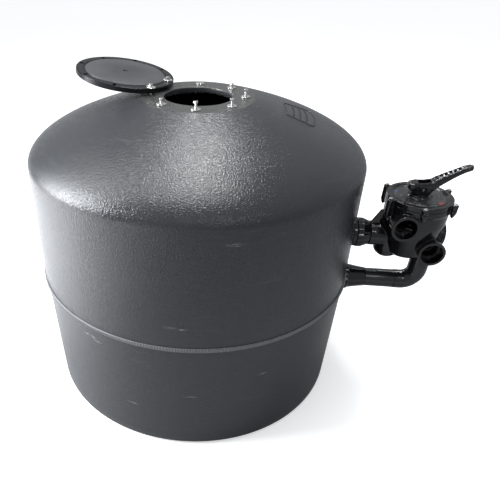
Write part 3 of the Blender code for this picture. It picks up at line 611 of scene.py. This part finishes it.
def box_path(cx, cy, w, h, radius, steps=6):
    out = []
    for sx, sy, start in ((1, 1, 0.0), (-1, 1, 0.5), (-1, -1, 1.0), (1, -1, 1.5)):
        for k in range(steps + 1):
            t = math.pi * (start + 0.5 * k / steps)
            out.append((cx + sx * (w / 2 - radius) + radius * math.cos(t), cy + sy * (h / 2 - radius) + radius * math.sin(t)))
    full = []
    for i, p in enumerate(out):
        q = out[(i + 1) % len(out)]
        steps_here = max(int(math.hypot(q[0] - p[0], q[1] - p[1]) / 0.004), 1)
        full += line(p, q, steps_here)
    return full


OUTLINE = print_material("panel_outline_dark", (0.006, 0.006, 0.008), 0.3)
keep(strip("dome_panel_outline", box_path(0.0, 0.2500, 0.1080, 0.0720, 0.010), 0.0042, -0.0004, 0.0010, OUTLINE), "tank", "tank_plastic")
for i, cy in enumerate((0.2340, 0.2500, 0.2660)):
    keep(strip("dome_panel_bar_%d" % (i + 1), box_path(0.0, cy, 0.078, 0.0030, 0.0014), 0.0022, -0.0004, 0.0007, OUTLINE), "tank", "tank_plastic")

# ---------------------------------------------------------------- washers, bolts and lid
WASHER = rounded([(0.0036, 0.0), (0.0118, 0.0), (0.0118, 0.0017), (0.0036, 0.0017)], 0.0006)
lid_frame = Matrix.Translation(LID_CENTRE) @ LID_NORMAL.to_track_quat("Z", "Y").to_matrix().to_4x4()


def on_lid(x, y, lift=0.0):
    d = Vector((x, y, 0)) - Vector((LID_CENTRE.x, LID_CENTRE.y, 0))
    z = LID_CENTRE.z - (LID_NORMAL.x * d.x + LID_NORMAL.y * d.y) / LID_NORMAL.z
    return Vector((x, y, z)) + LID_NORMAL * lift


for number, k in enumerate((-3, -2, -1, 0, 1, 2, 3, 4), 1):
    x, y = around(k)
    name = "lid_washer_%d" % number
    if k in (3, 4):
        m = Matrix.Translation(on_lid(x, y, 0.0004)) @ LID_NORMAL.to_track_quat("Z", "Y").to_matrix().to_4x4()
        keep(lathe(name + "_fine", WASHER, STEEL, 64, m), "lid", "steel", name)
    else:
        keep(lathe(name + "_fine", WASHER, STEEL, 64, at(x, y, NECK_Z + 0.0003)), "tank", "steel", name)


def hex_bolt(name, matrix, mat, shank_r, shank, across, head, pitch):
    """Chamfered hexagon head on a threaded shank."""
    segs = 48
    corner = across / 2 / math.cos(math.pi / 6)
    ang = 2 * math.pi * np.arange(segs) / segs
    hexr = (across / 2) / np.cos((ang % (math.pi / 3)) - math.pi / 6)
    rings = []

    def ring(z, r):
        rings.append(np.stack([r * np.cos(ang), r * np.sin(ang), np.full(segs, z)], 1))

    flat = np.full(segs, across / 2 * 0.93)
    ring(head, flat)
    ring(head - 0.15 * head, np.minimum(hexr, across / 2 * 1.06))
    ring(head - 0.30 * head, hexr)
    ring(0.08 * head, hexr)
    ring(0.0, np.minimum(hexr, across / 2 * 1.04))
    ring(0.0, np.full(segs, shank_r))
    turns = int((shank - 0.002) / pitch)
    for i in range(turns):
        z = -0.001 - i * pitch
        ring(z, np.full(segs, shank_r))
        ring(z - 0.5 * pitch, np.full(segs, shank_r - 0.00035))
    ring(-shank + 0.0008, np.full(segs, shank_r))
    ring(-shank, np.full(segs, shank_r - 0.0007))
    verts = np.concatenate([[[0, 0, head]]] + rings + [[[0, 0, -shank]]])
    faces = [(0, 1 + i, 1 + (i + 1) % segs) for i in range(segs)]
    for r in range(len(rings) - 1):
        b = 1 + r * segs
        faces += [(b + i, b + (i + 1) % segs, b + segs + (i + 1) % segs, b + segs + i) for i in range(segs)]
    last, b = len(verts) - 1, 1 + (len(rings) - 1) * segs
    faces += [(last, b + (i + 1) % segs, b + i) for i in range(segs)]
    return new_object(name, verts, faces, mat, 24.0, matrix)


for number, k in enumerate((-3, -2, -1, 0, 1, 3, 4), 1):
    x, y = around(k)
    name = "lid_bolt_%d" % number
    z = on_lid(x, y).z + 0.0042 if k in (3, 4) else BOLT_HEAD_Z[k]
    bolt = hex_bolt(name + "_fine", at(x, y, z) @ Matrix.Rotation(0.35 * k, 4, "Z"), STEEL, 0.0030, 0.0330, 0.0100, 0.0040, 0.0010)
    keep(bolt, "lid" if k in (3, 4) else name, "steel", name)

LID_PROFILE = [
    (0, 0.0012), (0.0050, 0.0012), (0.0066, 0.0030), (0.0076, 0.0033), (0.0090, 0.0032), (0.030, 0.0031), (0.060, 0.0026), (0.085, 0.0020), (0.0975, 0.0014),
    (0.0998, 0.0009), (0.1009, -0.0001), (0.1014, -0.0012), (0.1030, -0.0012), (0.1034, -0.0003), (0.1038, 0.0), (0.1048, 0.0), (0.1052, -0.0006),
    (0.1060, -0.0006), (0.1064, 0.0), (LID_R - 0.0034, 0.0), (LID_R - 0.0030, -0.0006), (LID_R - 0.0020, -0.0006), (LID_R - 0.0016, 0.0), (LID_R - 0.0006, -0.0003), (LID_R, -0.0012),
    (LID_R, -LID_T + 0.0012), (LID_R - 0.0010, -LID_T), (0.0970, -LID_T), (0.0970, -LID_T + 0.0042), (0.0910, -LID_T + 0.0042), (0.0910, -LID_T),
    (0.0790, -LID_T), (0.0780, -LID_T - 0.0065), (0.0700, -LID_T - 0.0065), (0.0690, -0.0060), (0, -0.0040),
]
lid = lathe("lid_skin_fine", LID_PROFILE, LID, 192, lid_frame, 24.0)
inverse = lid_frame.inverted()
local = [inverse @ on_lid(*around(k)) for k in (3, 4)]
middle = sum(math.atan2(p.y, p.x) for p in local) / 2
for i in range(8):
    turn = middle + math.pi / 8 + i * math.pi / 4
    m = lid_frame @ Matrix.Rotation(turn, 4, "Z") @ at(0.1136, 0, -0.006)
    cut(lid, stadium("slot", 0.0136, 0.0086, 0.03, m, LID))
shade(lid.data, 24.0)
keep(lid, "lid", "lid_plastic", "lid")

# ---------------------------------------------------------------- wall fittings, union and pipes
FACE_X = 0.4336


def ribbed(name, outline, ribs, depth, from_r, mat, matrix, segs=240):
    """A turned piece whose outside, beyond from_r, is cut into rounded grip ribs."""
    ang = 2 * math.pi * np.arange(segs) / segs
    verts = []
    for r, h in outline:
        rr = r - depth * min(max((r - from_r) / 0.003, 0.0), 1.0) * (0.5 - 0.5 * np.cos(ribs * ang)) ** 0.5
        verts += list(zip(rr * np.cos(ang), rr * np.sin(ang), np.full(segs, h)))
    m = len(outline)
    faces = [(r * segs + i, r * segs + (i + 1) % segs, ((r + 1) % m) * segs + (i + 1) % segs, ((r + 1) % m) * segs + i) for r in range(m) for i in range(segs)]
    return new_object(name, verts, faces, mat, 40.0, matrix)


up = at(z=PORT_UP_Z) @ TO_X
down = at(z=PORT_LOW_Z) @ TO_X
for prefix, m, r in (("upper", up, 0.0390), ("lower", down, 0.0375)):
    gasket = rounded([(0.0305, PAD_X + 0.0003), (r, PAD_X + 0.0003), (r, PAD_X + 0.0033), (0.0305, PAD_X + 0.0033)], 0.0008)
    keep(lathe(prefix + "_gasket_fine", gasket, RUBBER, 96, m), "tank", "rubber", prefix + "_gasket")
keep(
    lathe(
        "upper_bulkhead_fine",
        rounded([
            (0.0255, 0.3950), (0.0290, 0.3950), (0.0290, FACE_X), (0.0390, FACE_X), (0.0390, 0.4430), (0.0375, 0.4445),
            (0.0330, 0.4445), (0.0330, 0.4700), (0.0309, 0.4700), (0.0309, 0.4677), (0.0268, 0.4677), (0.0268, 0.4700),
            (0.0215, 0.4700), (0.0215, 0.4300), (0.0255, 0.4300),
        ], 0.0008),
        GLOSS, 96, up,
    ), "tank", "gloss_plastic", "upper_bulkhead",
)
keep(
    ribbed(
        "lower_bulkhead_fine",
        rounded([
            (0.0255, 0.3950), (0.0290, 0.3950), (0.0290, FACE_X), (0.0380, FACE_X), (0.0380, 0.4470), (0.0345, 0.4490), (0.0340, 0.4540),
            (0.0310, 0.4700), (0.0280, 0.4900), (0.0272, 0.4970), (0.0252, 0.4970), (0.0252, 0.4720), (0.0215, 0.4720), (0.0215, 0.4300), (0.0255, 0.4300),
        ], 0.0010),
        24, 0.0013, 0.0350, GLOSS, down,
    ), "tank", "gloss_plastic", "lower_bulkhead",
)
keep(
    lathe(
        "union_tail_fine",
        rounded([(0.0215, 0.4706), (0.0328, 0.4706), (0.0328, 0.4756), (0.0298, 0.4760), (0.0298, 0.4794), (0.0247, 0.4796), (0.0247, 0.5050), (0.0215, 0.5050)], 0.0005),
        GLOSS, 96, up,
    ), "tank", "gloss_plastic", "union_tail",
)
keep(
    lathe(
        "lower_tail_pipe_fine",
        rounded([(0.0215, 0.4724), (0.0248, 0.4724), (0.0248, 0.4974), (0.0262, 0.4976), (0.0262, 0.5800), (0.0215, 0.5800)], 0.0006),
        PIPE, 96, down,
    ), "tank", "pipe_plastic", "lower_tail_pipe",
)

# union nut with rounded grip ribs
nut_outline = rounded([(0.0339, 0.4452), (0.0400, 0.4452), (0.0400, 0.4600), (0.0325, 0.4792), (0.0303, 0.4792), (0.0303, 0.4764), (0.0339, 0.4764)], 0.0012, 5)
keep(ribbed("union_nut_fine", nut_outline, 24, 0.0012, 0.0345, GLOSS, up), "union_nut", "gloss_plastic", "union_nut")


def pipe(name, path, outer, inner, mat, segs=72):
    pts = [Vector(p) for p in path]
    verts, faces = [], []
    a = 2 * math.pi * np.arange(segs) / segs
    rings = []
    for radii in (outer, inner):
        for i, p in enumerate(pts):
            t = (pts[min(i + 1, len(pts) - 1)] - pts[max(i - 1, 0)]).normalized()
            side = Vector((0, 1, 0))
            upv = side.cross(t).normalized()
            side = t.cross(upv)
            rings.append([tuple(p + radii[i] * (math.cos(q) * side + math.sin(q) * upv)) for q in a])
    n = len(pts)
    order = list(range(n)) + list(range(2 * n - 1, n - 1, -1))
    for r in order:
        verts += rings[r]
    m = len(order)
    faces = [(r * segs + i, r * segs + (i + 1) % segs, ((r + 1) % m) * segs + (i + 1) % segs, ((r + 1) % m) * segs + i) for r in range(m) for i in range(segs)]
    return new_object(name, verts, faces, mat, 30.0)


BEND = 0.040
path, radii = [(0.5560, 0, PORT_LOW_Z), (0.5800, 0, PORT_LOW_Z), (0.5803, 0, PORT_LOW_Z), (0.5806, 0, PORT_LOW_Z), (0.5812, 0, PORT_LOW_Z)], [0.0208, 0.0208, 0.0208, 0.0266, 0.0270]
for i in range(25):
    q = math.radians(-90 + 90 * i / 24)
    path.append((BOTTOM_X - BEND + BEND * math.cos(q), 0, PORT_LOW_Z + BEND + BEND * math.sin(q)))
    radii.append(0.0270)
path += [(BOTTOM_X, 0, 0.3830), (BOTTOM_X, 0, 0.3838), (BOTTOM_X, 0, 0.38405), (BOTTOM_X, 0, 0.4092)]
radii += [0.0270, 0.0266, 0.0253, 0.0253]
keep(pipe("elbow_pipe_fine", path, radii, [0.0185] * len(path), PIPE), "tank", "pipe_plastic", "elbow_pipe")

# ---------------------------------------------------------------- valve body
V = at(VALVE_X)
SEG = 72
body = lathe(
    "valve_body_moulded",
    [(0, 0.4000), (0.0500, 0.4000), (0.0600, 0.4100), (0.0680, 0.4350), (0.0760, 0.4700), (0.0810, 0.5000), (0.0815, 0.5320), (0.0842, 0.5365), (0.0842, FLANGE_Z), (0, FLANGE_Z)],
    GLOSS, 96, V,
)


def lug(angle, z0, z1):
    r_in, r_out = 0.0792, SCREW_R - 0.0010
    mid = (r_in + r_out) / 2
    return block("lug", (r_out - r_in, 0.0130, z1 - z0), at(VALVE_X + mid * math.cos(angle), mid * math.sin(angle), (z0 + z1) / 2) @ Matrix.Rotation(angle, 4, "Z"), GLOSS)


def port_outline(r, depth):
    return [(0, 0), (r, 0), (r, 0.0090), (r - 0.0015, 0.0100), (r - 0.0015, depth), (0, depth)]


join(
    body,
    lathe("c1", [(0, 0.3810), (0.0120, 0.3820), (0.0220, 0.3855), (0.0300, 0.3920), (0.0345, 0.4000), (0.0355, 0.4080), (0.0355, 0.4900), (0, 0.5160)], GLOSS, SEG, at(0.5380)),
    lathe("c2", [(0, 0.3850), (0.0310, 0.3850), (0.0335, 0.3880), (0.0335, 0.4900), (0, 0.5160)], GLOSS, SEG, at(BOTTOM_X)),
    rod("pa", 0.0335, 0.0650, GLOSS, at(0.4802, 0, PORT_UP_Z) @ TO_X, SEG),
    lathe("pb", port_outline(0.0355, 0.0550), GLOSS, SEG, at(PORT_B[0], FRONT_Y, PORT_B[1]) @ TO_BACK),
    lathe("pc", port_outline(0.0345, 0.0700), GLOSS, SEG, at(PORT_C[0], FRONT_Y, PORT_C[1]) @ TO_BACK),
    lathe("pd", [(0, -0.0450), (0.0330, -0.0450), (0.0330, -0.0090), (0.0345, -0.0080), (0.0345, 0), (0, 0)], GLOSS, SEG, at(WASTE_X, 0, WASTE_Z) @ TO_X),
    prism("rib", [(0.4806, 0.4655), (0.4806, 0.4820), (0.4995, 0.5170), (0.5300, 0.5180), (0.5400, 0.5150), (0.5400, 0.4655)], 0.0030, GLOSS),
)
for i in range(6):
    q = SCREW_PHASE + i * math.pi / 3
    x, y = VALVE_X + SCREW_R * math.cos(q), SCREW_R * math.sin(q)
    z = 0.5150 if math.cos(q) < -0.5 else 0.5330
    join(body, lathe("ear", [(0, z - 0.0060), (0.0045, z), (0.0082, z + 0.0110), (0.0082, FLANGE_Z - 0.0002), (0, FLANGE_Z - 0.0002)], GLOSS, 40, at(x, y)))
    join(body, lug(q, z + 0.0065, FLANGE_Z - 0.0005))
cut(
    body,
    rod("chamber", 0.0718, 0.0800, GLOSS, at(VALVE_X, 0, SEAT_Z), 96),
    rod("tap_b", 0.0275, 0.0260, GLOSS, at(PORT_B[0], FRONT_Y - 0.001, PORT_B[1]) @ TO_BACK, SEG),
    rod("tap_b2", 0.0210, 0.0430, GLOSS, at(PORT_B[0], FRONT_Y - 0.001, PORT_B[1]) @ TO_BACK, SEG),
    rod("tap_c", 0.0275, 0.0290, GLOSS, at(PORT_C[0], FRONT_Y - 0.001, PORT_C[1]) @ TO_BACK, SEG),
    rod("tap_c2", 0.0210, 0.0570, GLOSS, at(PORT_C[0], FRONT_Y - 0.001, PORT_C[1]) @ TO_BACK, SEG),
    rod("tap_d", 0.0275, 0.0190, GLOSS, at(WASTE_X - 0.0180, 0, WASTE_Z) @ TO_X, SEG),
    rod("tap_a", 0.0253, 0.0260, GLOSS, at(0.4796, 0, PORT_UP_Z) @ TO_X, SEG),
    rod("tap_a2", 0.0190, 0.0640, GLOSS, at(0.4796, 0, PORT_UP_Z) @ TO_X, SEG),
    rod("tap_e", 0.0262, 0.0300, GLOSS, at(BOTTOM_X, 0, 0.3800), SEG),
    rod("tap_e2", 0.0200, 0.0680, GLOSS, at(BOTTOM_X, 0, 0.3800), SEG),
)
for mid, half in ((0, 15), (60, 22), (-60, 25), (180, 25)):
    cut(body, sector("pocket", math.radians(mid), math.radians(half), 0.0170, 0.0620, 0.4420, SEAT_Z + 0.0005, GLOSS))
soften(body, 0.0010, 3)
keep(body, "tank", "gloss_plastic", "valve_body")

# ---------------------------------------------------------------- valve cover
cover = lathe(
    "valve_cover_moulded",
    [
        (0.0105, 0.5540), (0.0240, 0.5540), (0.0270, 0.5520), (0.0660, 0.5470), (0.0708, 0.5470), (0.0708, COVER_Z), (0.0843, COVER_Z),
        (0.0843, 0.5645), (0.0750, 0.5645), (0.0715, 0.5600), (0.0680, 0.5608), (0.0290, 0.5625), (0.0260, 0.5680), (0.0105, 0.5680),
    ],
    GLOSS, 96, V,
)
for i in range(6):
    q = SCREW_PHASE + i * math.pi / 3
    x, y = VALVE_X + SCREW_R * math.cos(q), SCREW_R * math.sin(q)
    join(cover, rod("ear", 0.0082, 0.5642 - COVER_Z - 0.0002, GLOSS, at(x, y, COVER_Z + 0.0002), 40))
    join(cover, lug(q, COVER_Z + 0.0005, 0.5638))
for i in range(6):
    q = SCREW_PHASE + i * math.pi / 3
    cut(cover, rod("hole", 0.0036, 0.03, GLOSS, at(VALVE_X + SCREW_R * math.cos(q), SCREW_R * math.sin(q), 0.5450), 24))
# ease the cover's edges and corners; the shallow scallops between the ears, where the flange is cored out, are not
# modelled
soften(cover, 0.00070, 2)
keep(cover, "tank", "gloss_plastic", "valve_cover")
for i in range(6):
    q = SCREW_PHASE + i * math.pi / 3
    x, y = VALVE_X + SCREW_R * math.cos(q), SCREW_R * math.sin(q)
    screw = hex_bolt("cover_screw_%d_fine" % (i + 1), at(x, y, 0.5645) @ Matrix.Rotation(q, 4, "Z"), STEEL, 0.0030, 0.0255, 0.0090, 0.0038, 0.0010)
    keep(screw, "tank", "steel", "cover_screw_%d" % (i + 1))


# thin position ring in the dish: plain marks, no lettering
def decal(name, mid, half, r_in, r_out, z, mat, thick=0.0003):
    obj = sector(name, math.radians(mid), math.radians(half), r_in, r_out, z, z + thick, mat)
    return keep(obj, "tank", "gloss_plastic")


RED = print_material("mark_red", (0.150, 0.016, 0.013))
GREEN = print_material("mark_green", (0.012, 0.060, 0.040))
BLUE = print_material("mark_blue", (0.020, 0.050, 0.180))
PALE = print_material("mark_grey", (0.22, 0.22, 0.22), 0.5)
ring = lathe("position_ring_plate", rounded([(0.0315, 0.5626), (0.0660, 0.5611), (0.0660, 0.5616), (0.0315, 0.5631)], 0.0001), DISH, 128, V)
keep(ring, "tank", "gloss_plastic")
for i in range(6):
    mid = -36 + 30 + 60 * i
    decal("position_tick_%d" % (i + 1), mid, 1.1, 0.0560, 0.0640, 0.5613, PALE, 0.0006)
    decal("position_bar_%d" % (i + 1), mid + 8, 5.5, 0.0480, 0.0492, 0.5618, PALE, 0.0006)
decal("position_patch_red", -46, 9.5, 0.0505, 0.0655, 0.5613, RED, 0.0008)
decal("position_patch_green", -74, 5.5, 0.0560, 0.0640, 0.5612, GREEN, 0.0008)
decal("position_patch_blue", 158, 6.5, 0.0570, 0.0640, 0.5612, BLUE, 0.0008)

# ---------------------------------------------------------------- turning parts and handle
keep(lathe("thrust_washer_fine", rounded([(0.0105, 0.5683), (0.0205, 0.5683), (0.0205, 0.5701), (0.0105, 0.5701)], 0.0004), INNER, 72, V), "turret", "inner_plastic", "thrust_washer")
pin_frame = at(VALVE_X, 0, PIN_Z) @ Matrix.Rotation(HANDLE_PHI, 4, "Z")
pin_outline = [(0, -0.0170), (0.0026, -0.0170), (0.0030, -0.0165), (0.0030, 0.0165), (0.0026, 0.0170), (0, 0.0170)]
keep(lathe("handle_pin_fine", pin_outline, STEEL, 32, pin_frame @ TO_BACK), "rotor", "steel", "handle_pin")

# the rotor's spring: round wire with flat end coils, up against the cover; it is attached to the rotor
SPRING_R, WIRE_R, SPRING_Z0, SPRING_Z1, COILS = 0.0175, 0.0016, 0.5030, 0.5520, 5
turns_done = np.linspace(0.0, 1.0, COILS * 48 + 1)
rise = np.clip((turns_done * COILS - 0.5) / (COILS - 1.0), 0.0, 1.0)
heights = SPRING_Z0 + (SPRING_Z1 - SPRING_Z0) * (0.93 * rise + 0.07 * turns_done)
verts, faces = [], []
wire = 2 * math.pi * np.arange(16) / 16
for t, h in zip(turns_done, heights):
    a = 2 * math.pi * COILS * t
    reach = SPRING_R + WIRE_R * np.cos(wire)
    verts += list(zip(VALVE_X + reach * math.cos(a), reach * math.sin(a), h + WIRE_R * np.sin(wire)))
for r in range(len(turns_done) - 1):
    faces += [(r * 16 + i, (r + 1) * 16 + i, (r + 1) * 16 + (i + 1) % 16, r * 16 + (i + 1) % 16) for i in range(16)]
faces += [tuple(range(16)), tuple(range(len(verts) - 1, len(verts) - 17, -1))]
spring = keep(new_object("rotor_spring_fine", verts, faces, STEEL, 50.0), "rotor", "steel", "rotor_spring")
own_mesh(spring)

STATIONS = np.array([
    (-0.0370, 0.0000, 0.0085, 0.0120), (-0.0340, -0.0040, 0.0120, 0.0150), (-0.0240, -0.0100, 0.0145, 0.0180), (-0.0190, -0.0140, 0.0153, 0.0180),
    (0.0000, -0.0140, 0.0170, 0.0180), (0.0177, -0.0140, 0.0215, 0.0180), (0.0230, -0.0030, 0.0265, 0.0172), (0.0400, 0.0140, 0.0385, 0.0155),
    (0.0600, 0.0312, 0.0502, 0.0135), (0.0750, 0.0428, 0.0592, 0.0120), (0.0860, 0.0500, 0.0658, 0.0114), (0.0955, 0.0548, 0.0688, 0.0104),
    (0.1028, 0.0580, 0.0680, 0.0078),
])


def at_station(u):
    return [float(np.interp(u, STATIONS[:, 0], STATIONS[:, c])) for c in (1, 2, 3)]


def loft(name, us, power, mat, grow=0.0, segs=48):
    verts, faces = [], []
    t = 2 * math.pi * np.arange(segs) / segs
    for u in us:
        z0, z1, w = at_station(u)
        e = 2.0 / power(u)
        cy = np.sign(np.cos(t)) * np.abs(np.cos(t)) ** e * (w + grow)
        cz = np.sign(np.sin(t)) * np.abs(np.sin(t)) ** e * ((z1 - z0) / 2 + grow) + (z0 + z1) / 2
        verts += list(zip(np.full(segs, u), cy, cz))
    m = len(us)
    for r in range(m - 1):
        faces += [(r * segs + i, r * segs + (i + 1) % segs, (r + 1) * segs + (i + 1) % segs, (r + 1) * segs + i) for i in range(segs)]
    faces += [tuple(range(segs)), tuple(range(m * segs - 1, (m - 1) * segs - 1, -1))]
    return new_object(name, verts, faces, mat, 40.0)


lever = loft("handle_lever", list(np.linspace(-0.0370, 0.0845, 90)), lambda u: 7.0 if u < 0.03 else 4.5, GLOSS)
cut(lever, block("slot", (0.0306, 0.0214, 0.0800), at(), GLOSS))
cut(lever, rod("hole", 0.0035, 0.05, GLOSS, at(0, -0.025, 0) @ TO_BACK, 32))
for i in range(6):
    u = 0.0265 + i * 0.0094
    z0, z1, w = at_station(u)
    slope = math.atan2(0.0200, 0.0350)
    cut(lever, block("pocket", (0.0062, 2 * w - 0.0090, 0.0110), at(u, 0, z1 + 0.0006) @ Matrix.Rotation(-slope, 4, "Y"), GLOSS))
soften(lever, 0.00055, 2)
lever.data.transform(pin_frame)
keep(lever, "handle", "gloss_plastic", "handle")
us = [0.0835 + 0.0193 * math.sin(x) for x in np.linspace(0, math.pi / 2, 22)]
grip = loft("handle_grip", us, lambda u: 2.6, SATIN, 0.0008)
soften(grip, 0.00055, 5)
grip.data.transform(pin_frame)
keep(grip, "handle", "gloss_plastic", "handle")

# ---------------------------------------------------------------- nodes carried over from the frame
CARRIED = {"gloss_plastic": GLOSS, "pipe_plastic": PIPE, "inner_plastic": INNER, "rubber": RUBBER, "steel": STEEL, "tank_plastic": TANK, "weld_plastic": BEAD, "lid_plastic": LID}
slots = {s["node"]: s["material_slot"] for s in frame["record"]["subparts"]}
for node, obj in NODES.items():
    obj.data.materials.clear()
    obj.data.materials.append(CARRIED[slots[node]])
    obj.data.shade_smooth()
    obj.data.set_sharp_from_angle(angle=math.radians(50.0 if node == "rotor_spring" else 35.0))

# ---------------------------------------------------------------- floor, light and camera
floor_tree = Tree("floor_pale")
floor_tone = floor_tree.noise(1.3, 2.0)
floor_seen = floor_tree.mix(floor_tone, (0.88, 0.88, 0.88), (0.91, 0.91, 0.91))
floor_x = floor_tree.axes()[0]
# painted light: for rays other than camera rays the floor is pale to the left and dark in front and to the right, a
# painted pool of light on the left and painted shade elsewhere
floor_painted_light_left = floor_tree.mix(floor_tree.ramp(floor_x, -0.35, -1.2), (0.36, 0.36, 0.37), (0.88, 0.88, 0.89))
floor_path = floor_tree.nt.nodes.new("ShaderNodeLightPath").outputs["Is Camera Ray"]
floor_mat = floor_tree.finish(floor_tree.mix(floor_path, floor_painted_light_left, floor_seen), 0.65)
floor_tree.shader.inputs["Emission Color"].default_value = (1.0, 1.0, 1.0, 1.0)
floor_tree.link(floor_tree.math("MULTIPLY", floor_path, 0.42), floor_tree.shader.inputs["Emission Strength"])
bm = bmesh.new()
bmesh.ops.create_grid(bm, x_segments=1, y_segments=1, size=14.0)
floor_mesh = bpy.data.meshes.new("floor")
bm.to_mesh(floor_mesh)
bm.free()
floor_mesh.materials.append(floor_mat)
floor = bpy.data.objects.new("floor", floor_mesh)
bpy.context.scene.collection.objects.link(floor)
floor.location.z = -0.0005

world = bpy.data.worlds.new("studio")
bpy.context.scene.world = world
world.use_nodes = True
sky = world.node_tree.nodes["Background"]
sky.inputs["Color"].default_value = (0.95, 0.97, 1.0, 1.0)
sky_path = world.node_tree.nodes.new("ShaderNodeLightPath")
sky_glossy = world.node_tree.nodes.new("ShaderNodeMix")
sky_glossy.data_type = "FLOAT"
sky_glossy.inputs[2].default_value, sky_glossy.inputs[3].default_value = 0.66, 0.40
world.node_tree.links.new(sky_path.outputs["Is Glossy Ray"], sky_glossy.inputs[0])
sky_seen = world.node_tree.nodes.new("ShaderNodeMix")
sky_seen.data_type = "FLOAT"
sky_seen.inputs[3].default_value = 1.0
world.node_tree.links.new(sky_path.outputs["Is Camera Ray"], sky_seen.inputs[0])
world.node_tree.links.new(sky_glossy.outputs[0], sky_seen.inputs[2])
world.node_tree.links.new(sky_seen.outputs[0], sky.inputs["Strength"])


def lowest_x(obj):
    """The lowest x of an object's corners, in the row frame."""
    return min((obj.matrix_world @ Vector(c)).x for c in obj.bound_box)


def area(name, place, target, size, power, color=(1, 1, 1)):
    light = bpy.data.lights.new(name, "AREA")
    light.shape, light.size, light.size_y, light.energy, light.color = "RECTANGLE", size[0], size[1], power, color
    obj = bpy.data.objects.new(name, light)
    bpy.context.scene.collection.objects.link(obj)
    obj.location = place
    obj.rotation_euler = (Vector(target) - Vector(place)).to_track_quat("-Z", "Y").to_euler()
    obj.visible_camera = False
    return obj


area("top_window", (-0.02, 0.92, 3.05), (0.02, -0.25, 0.74), (0.32, 1.50), 41.0)
area("roof_panel", (-0.06, -0.10, 3.10), (0.0, -0.25, 0.74), (0.60, 0.70), 17.0)
area("left_window", (-2.35, -0.46, 1.36), (-0.20, -0.24, 0.54), (1.4, 2.0), 166.0, (0.94, 0.97, 1.0))
area("left_ceiling", (-1.35, 0.10, 2.60), (-0.25, -0.10, 0.70), (1.0, 1.0), 22.0, (0.96, 0.98, 1.0))
glint = area("valve_glint", (0.32, 1.35, 1.33), (0.60, 0.0, 0.56), (0.42, 0.12), 3.6)
pipe_glint = area("pipe_glint", (1.20, 1.08, 1.87), (0.60, 0.0, 0.50), (0.26, 0.26), 5.0)
lit = bpy.data.collections.new("lit_by_valve_glint")
for obj in bpy.context.scene.objects:
    if obj.type == "MESH" and obj is not floor and lowest_x(obj) > 0.43:
        lit.objects.link(obj)
for lamp in (glint, pipe_glint):
    lamp.light_linking.receiver_collection = lit
area("front_fill", (1.20, -2.60, 2.60), (0.45, 0.0, 0.45), (0.5, 0.5), 6.0)

camera = bpy.data.cameras.new("camera")
camera.lens, camera.sensor_width = 36.0, 36.0
camera.shift_x, camera.shift_y = 0.110, 0.1091
camera.clip_start = 0.02
view = bpy.data.objects.new("camera", camera)
bpy.context.scene.collection.objects.link(view)
e, roll, az = math.radians(37.35), math.radians(0.86663), math.radians(5.0)
forward, right = Vector((0, math.cos(e), -math.sin(e))), Vector((1, 0, 0))
upward = right.cross(forward)
r2 = right * math.cos(roll) + upward * math.sin(roll)
u2 = upward * math.cos(roll) - right * math.sin(roll)
turned = Matrix.Rotation(az, 3, "Z")
columns = [turned @ r2, turned @ u2, -(turned @ forward)]
view.matrix_world = Matrix.Translation((0.1109, -1.2673, 1.1233)) @ Matrix([[c[i] for c in columns] for i in range(3)]).to_4x4()
bpy.context.scene.camera = view
bpy.context.scene.view_settings.view_transform = "Standard"
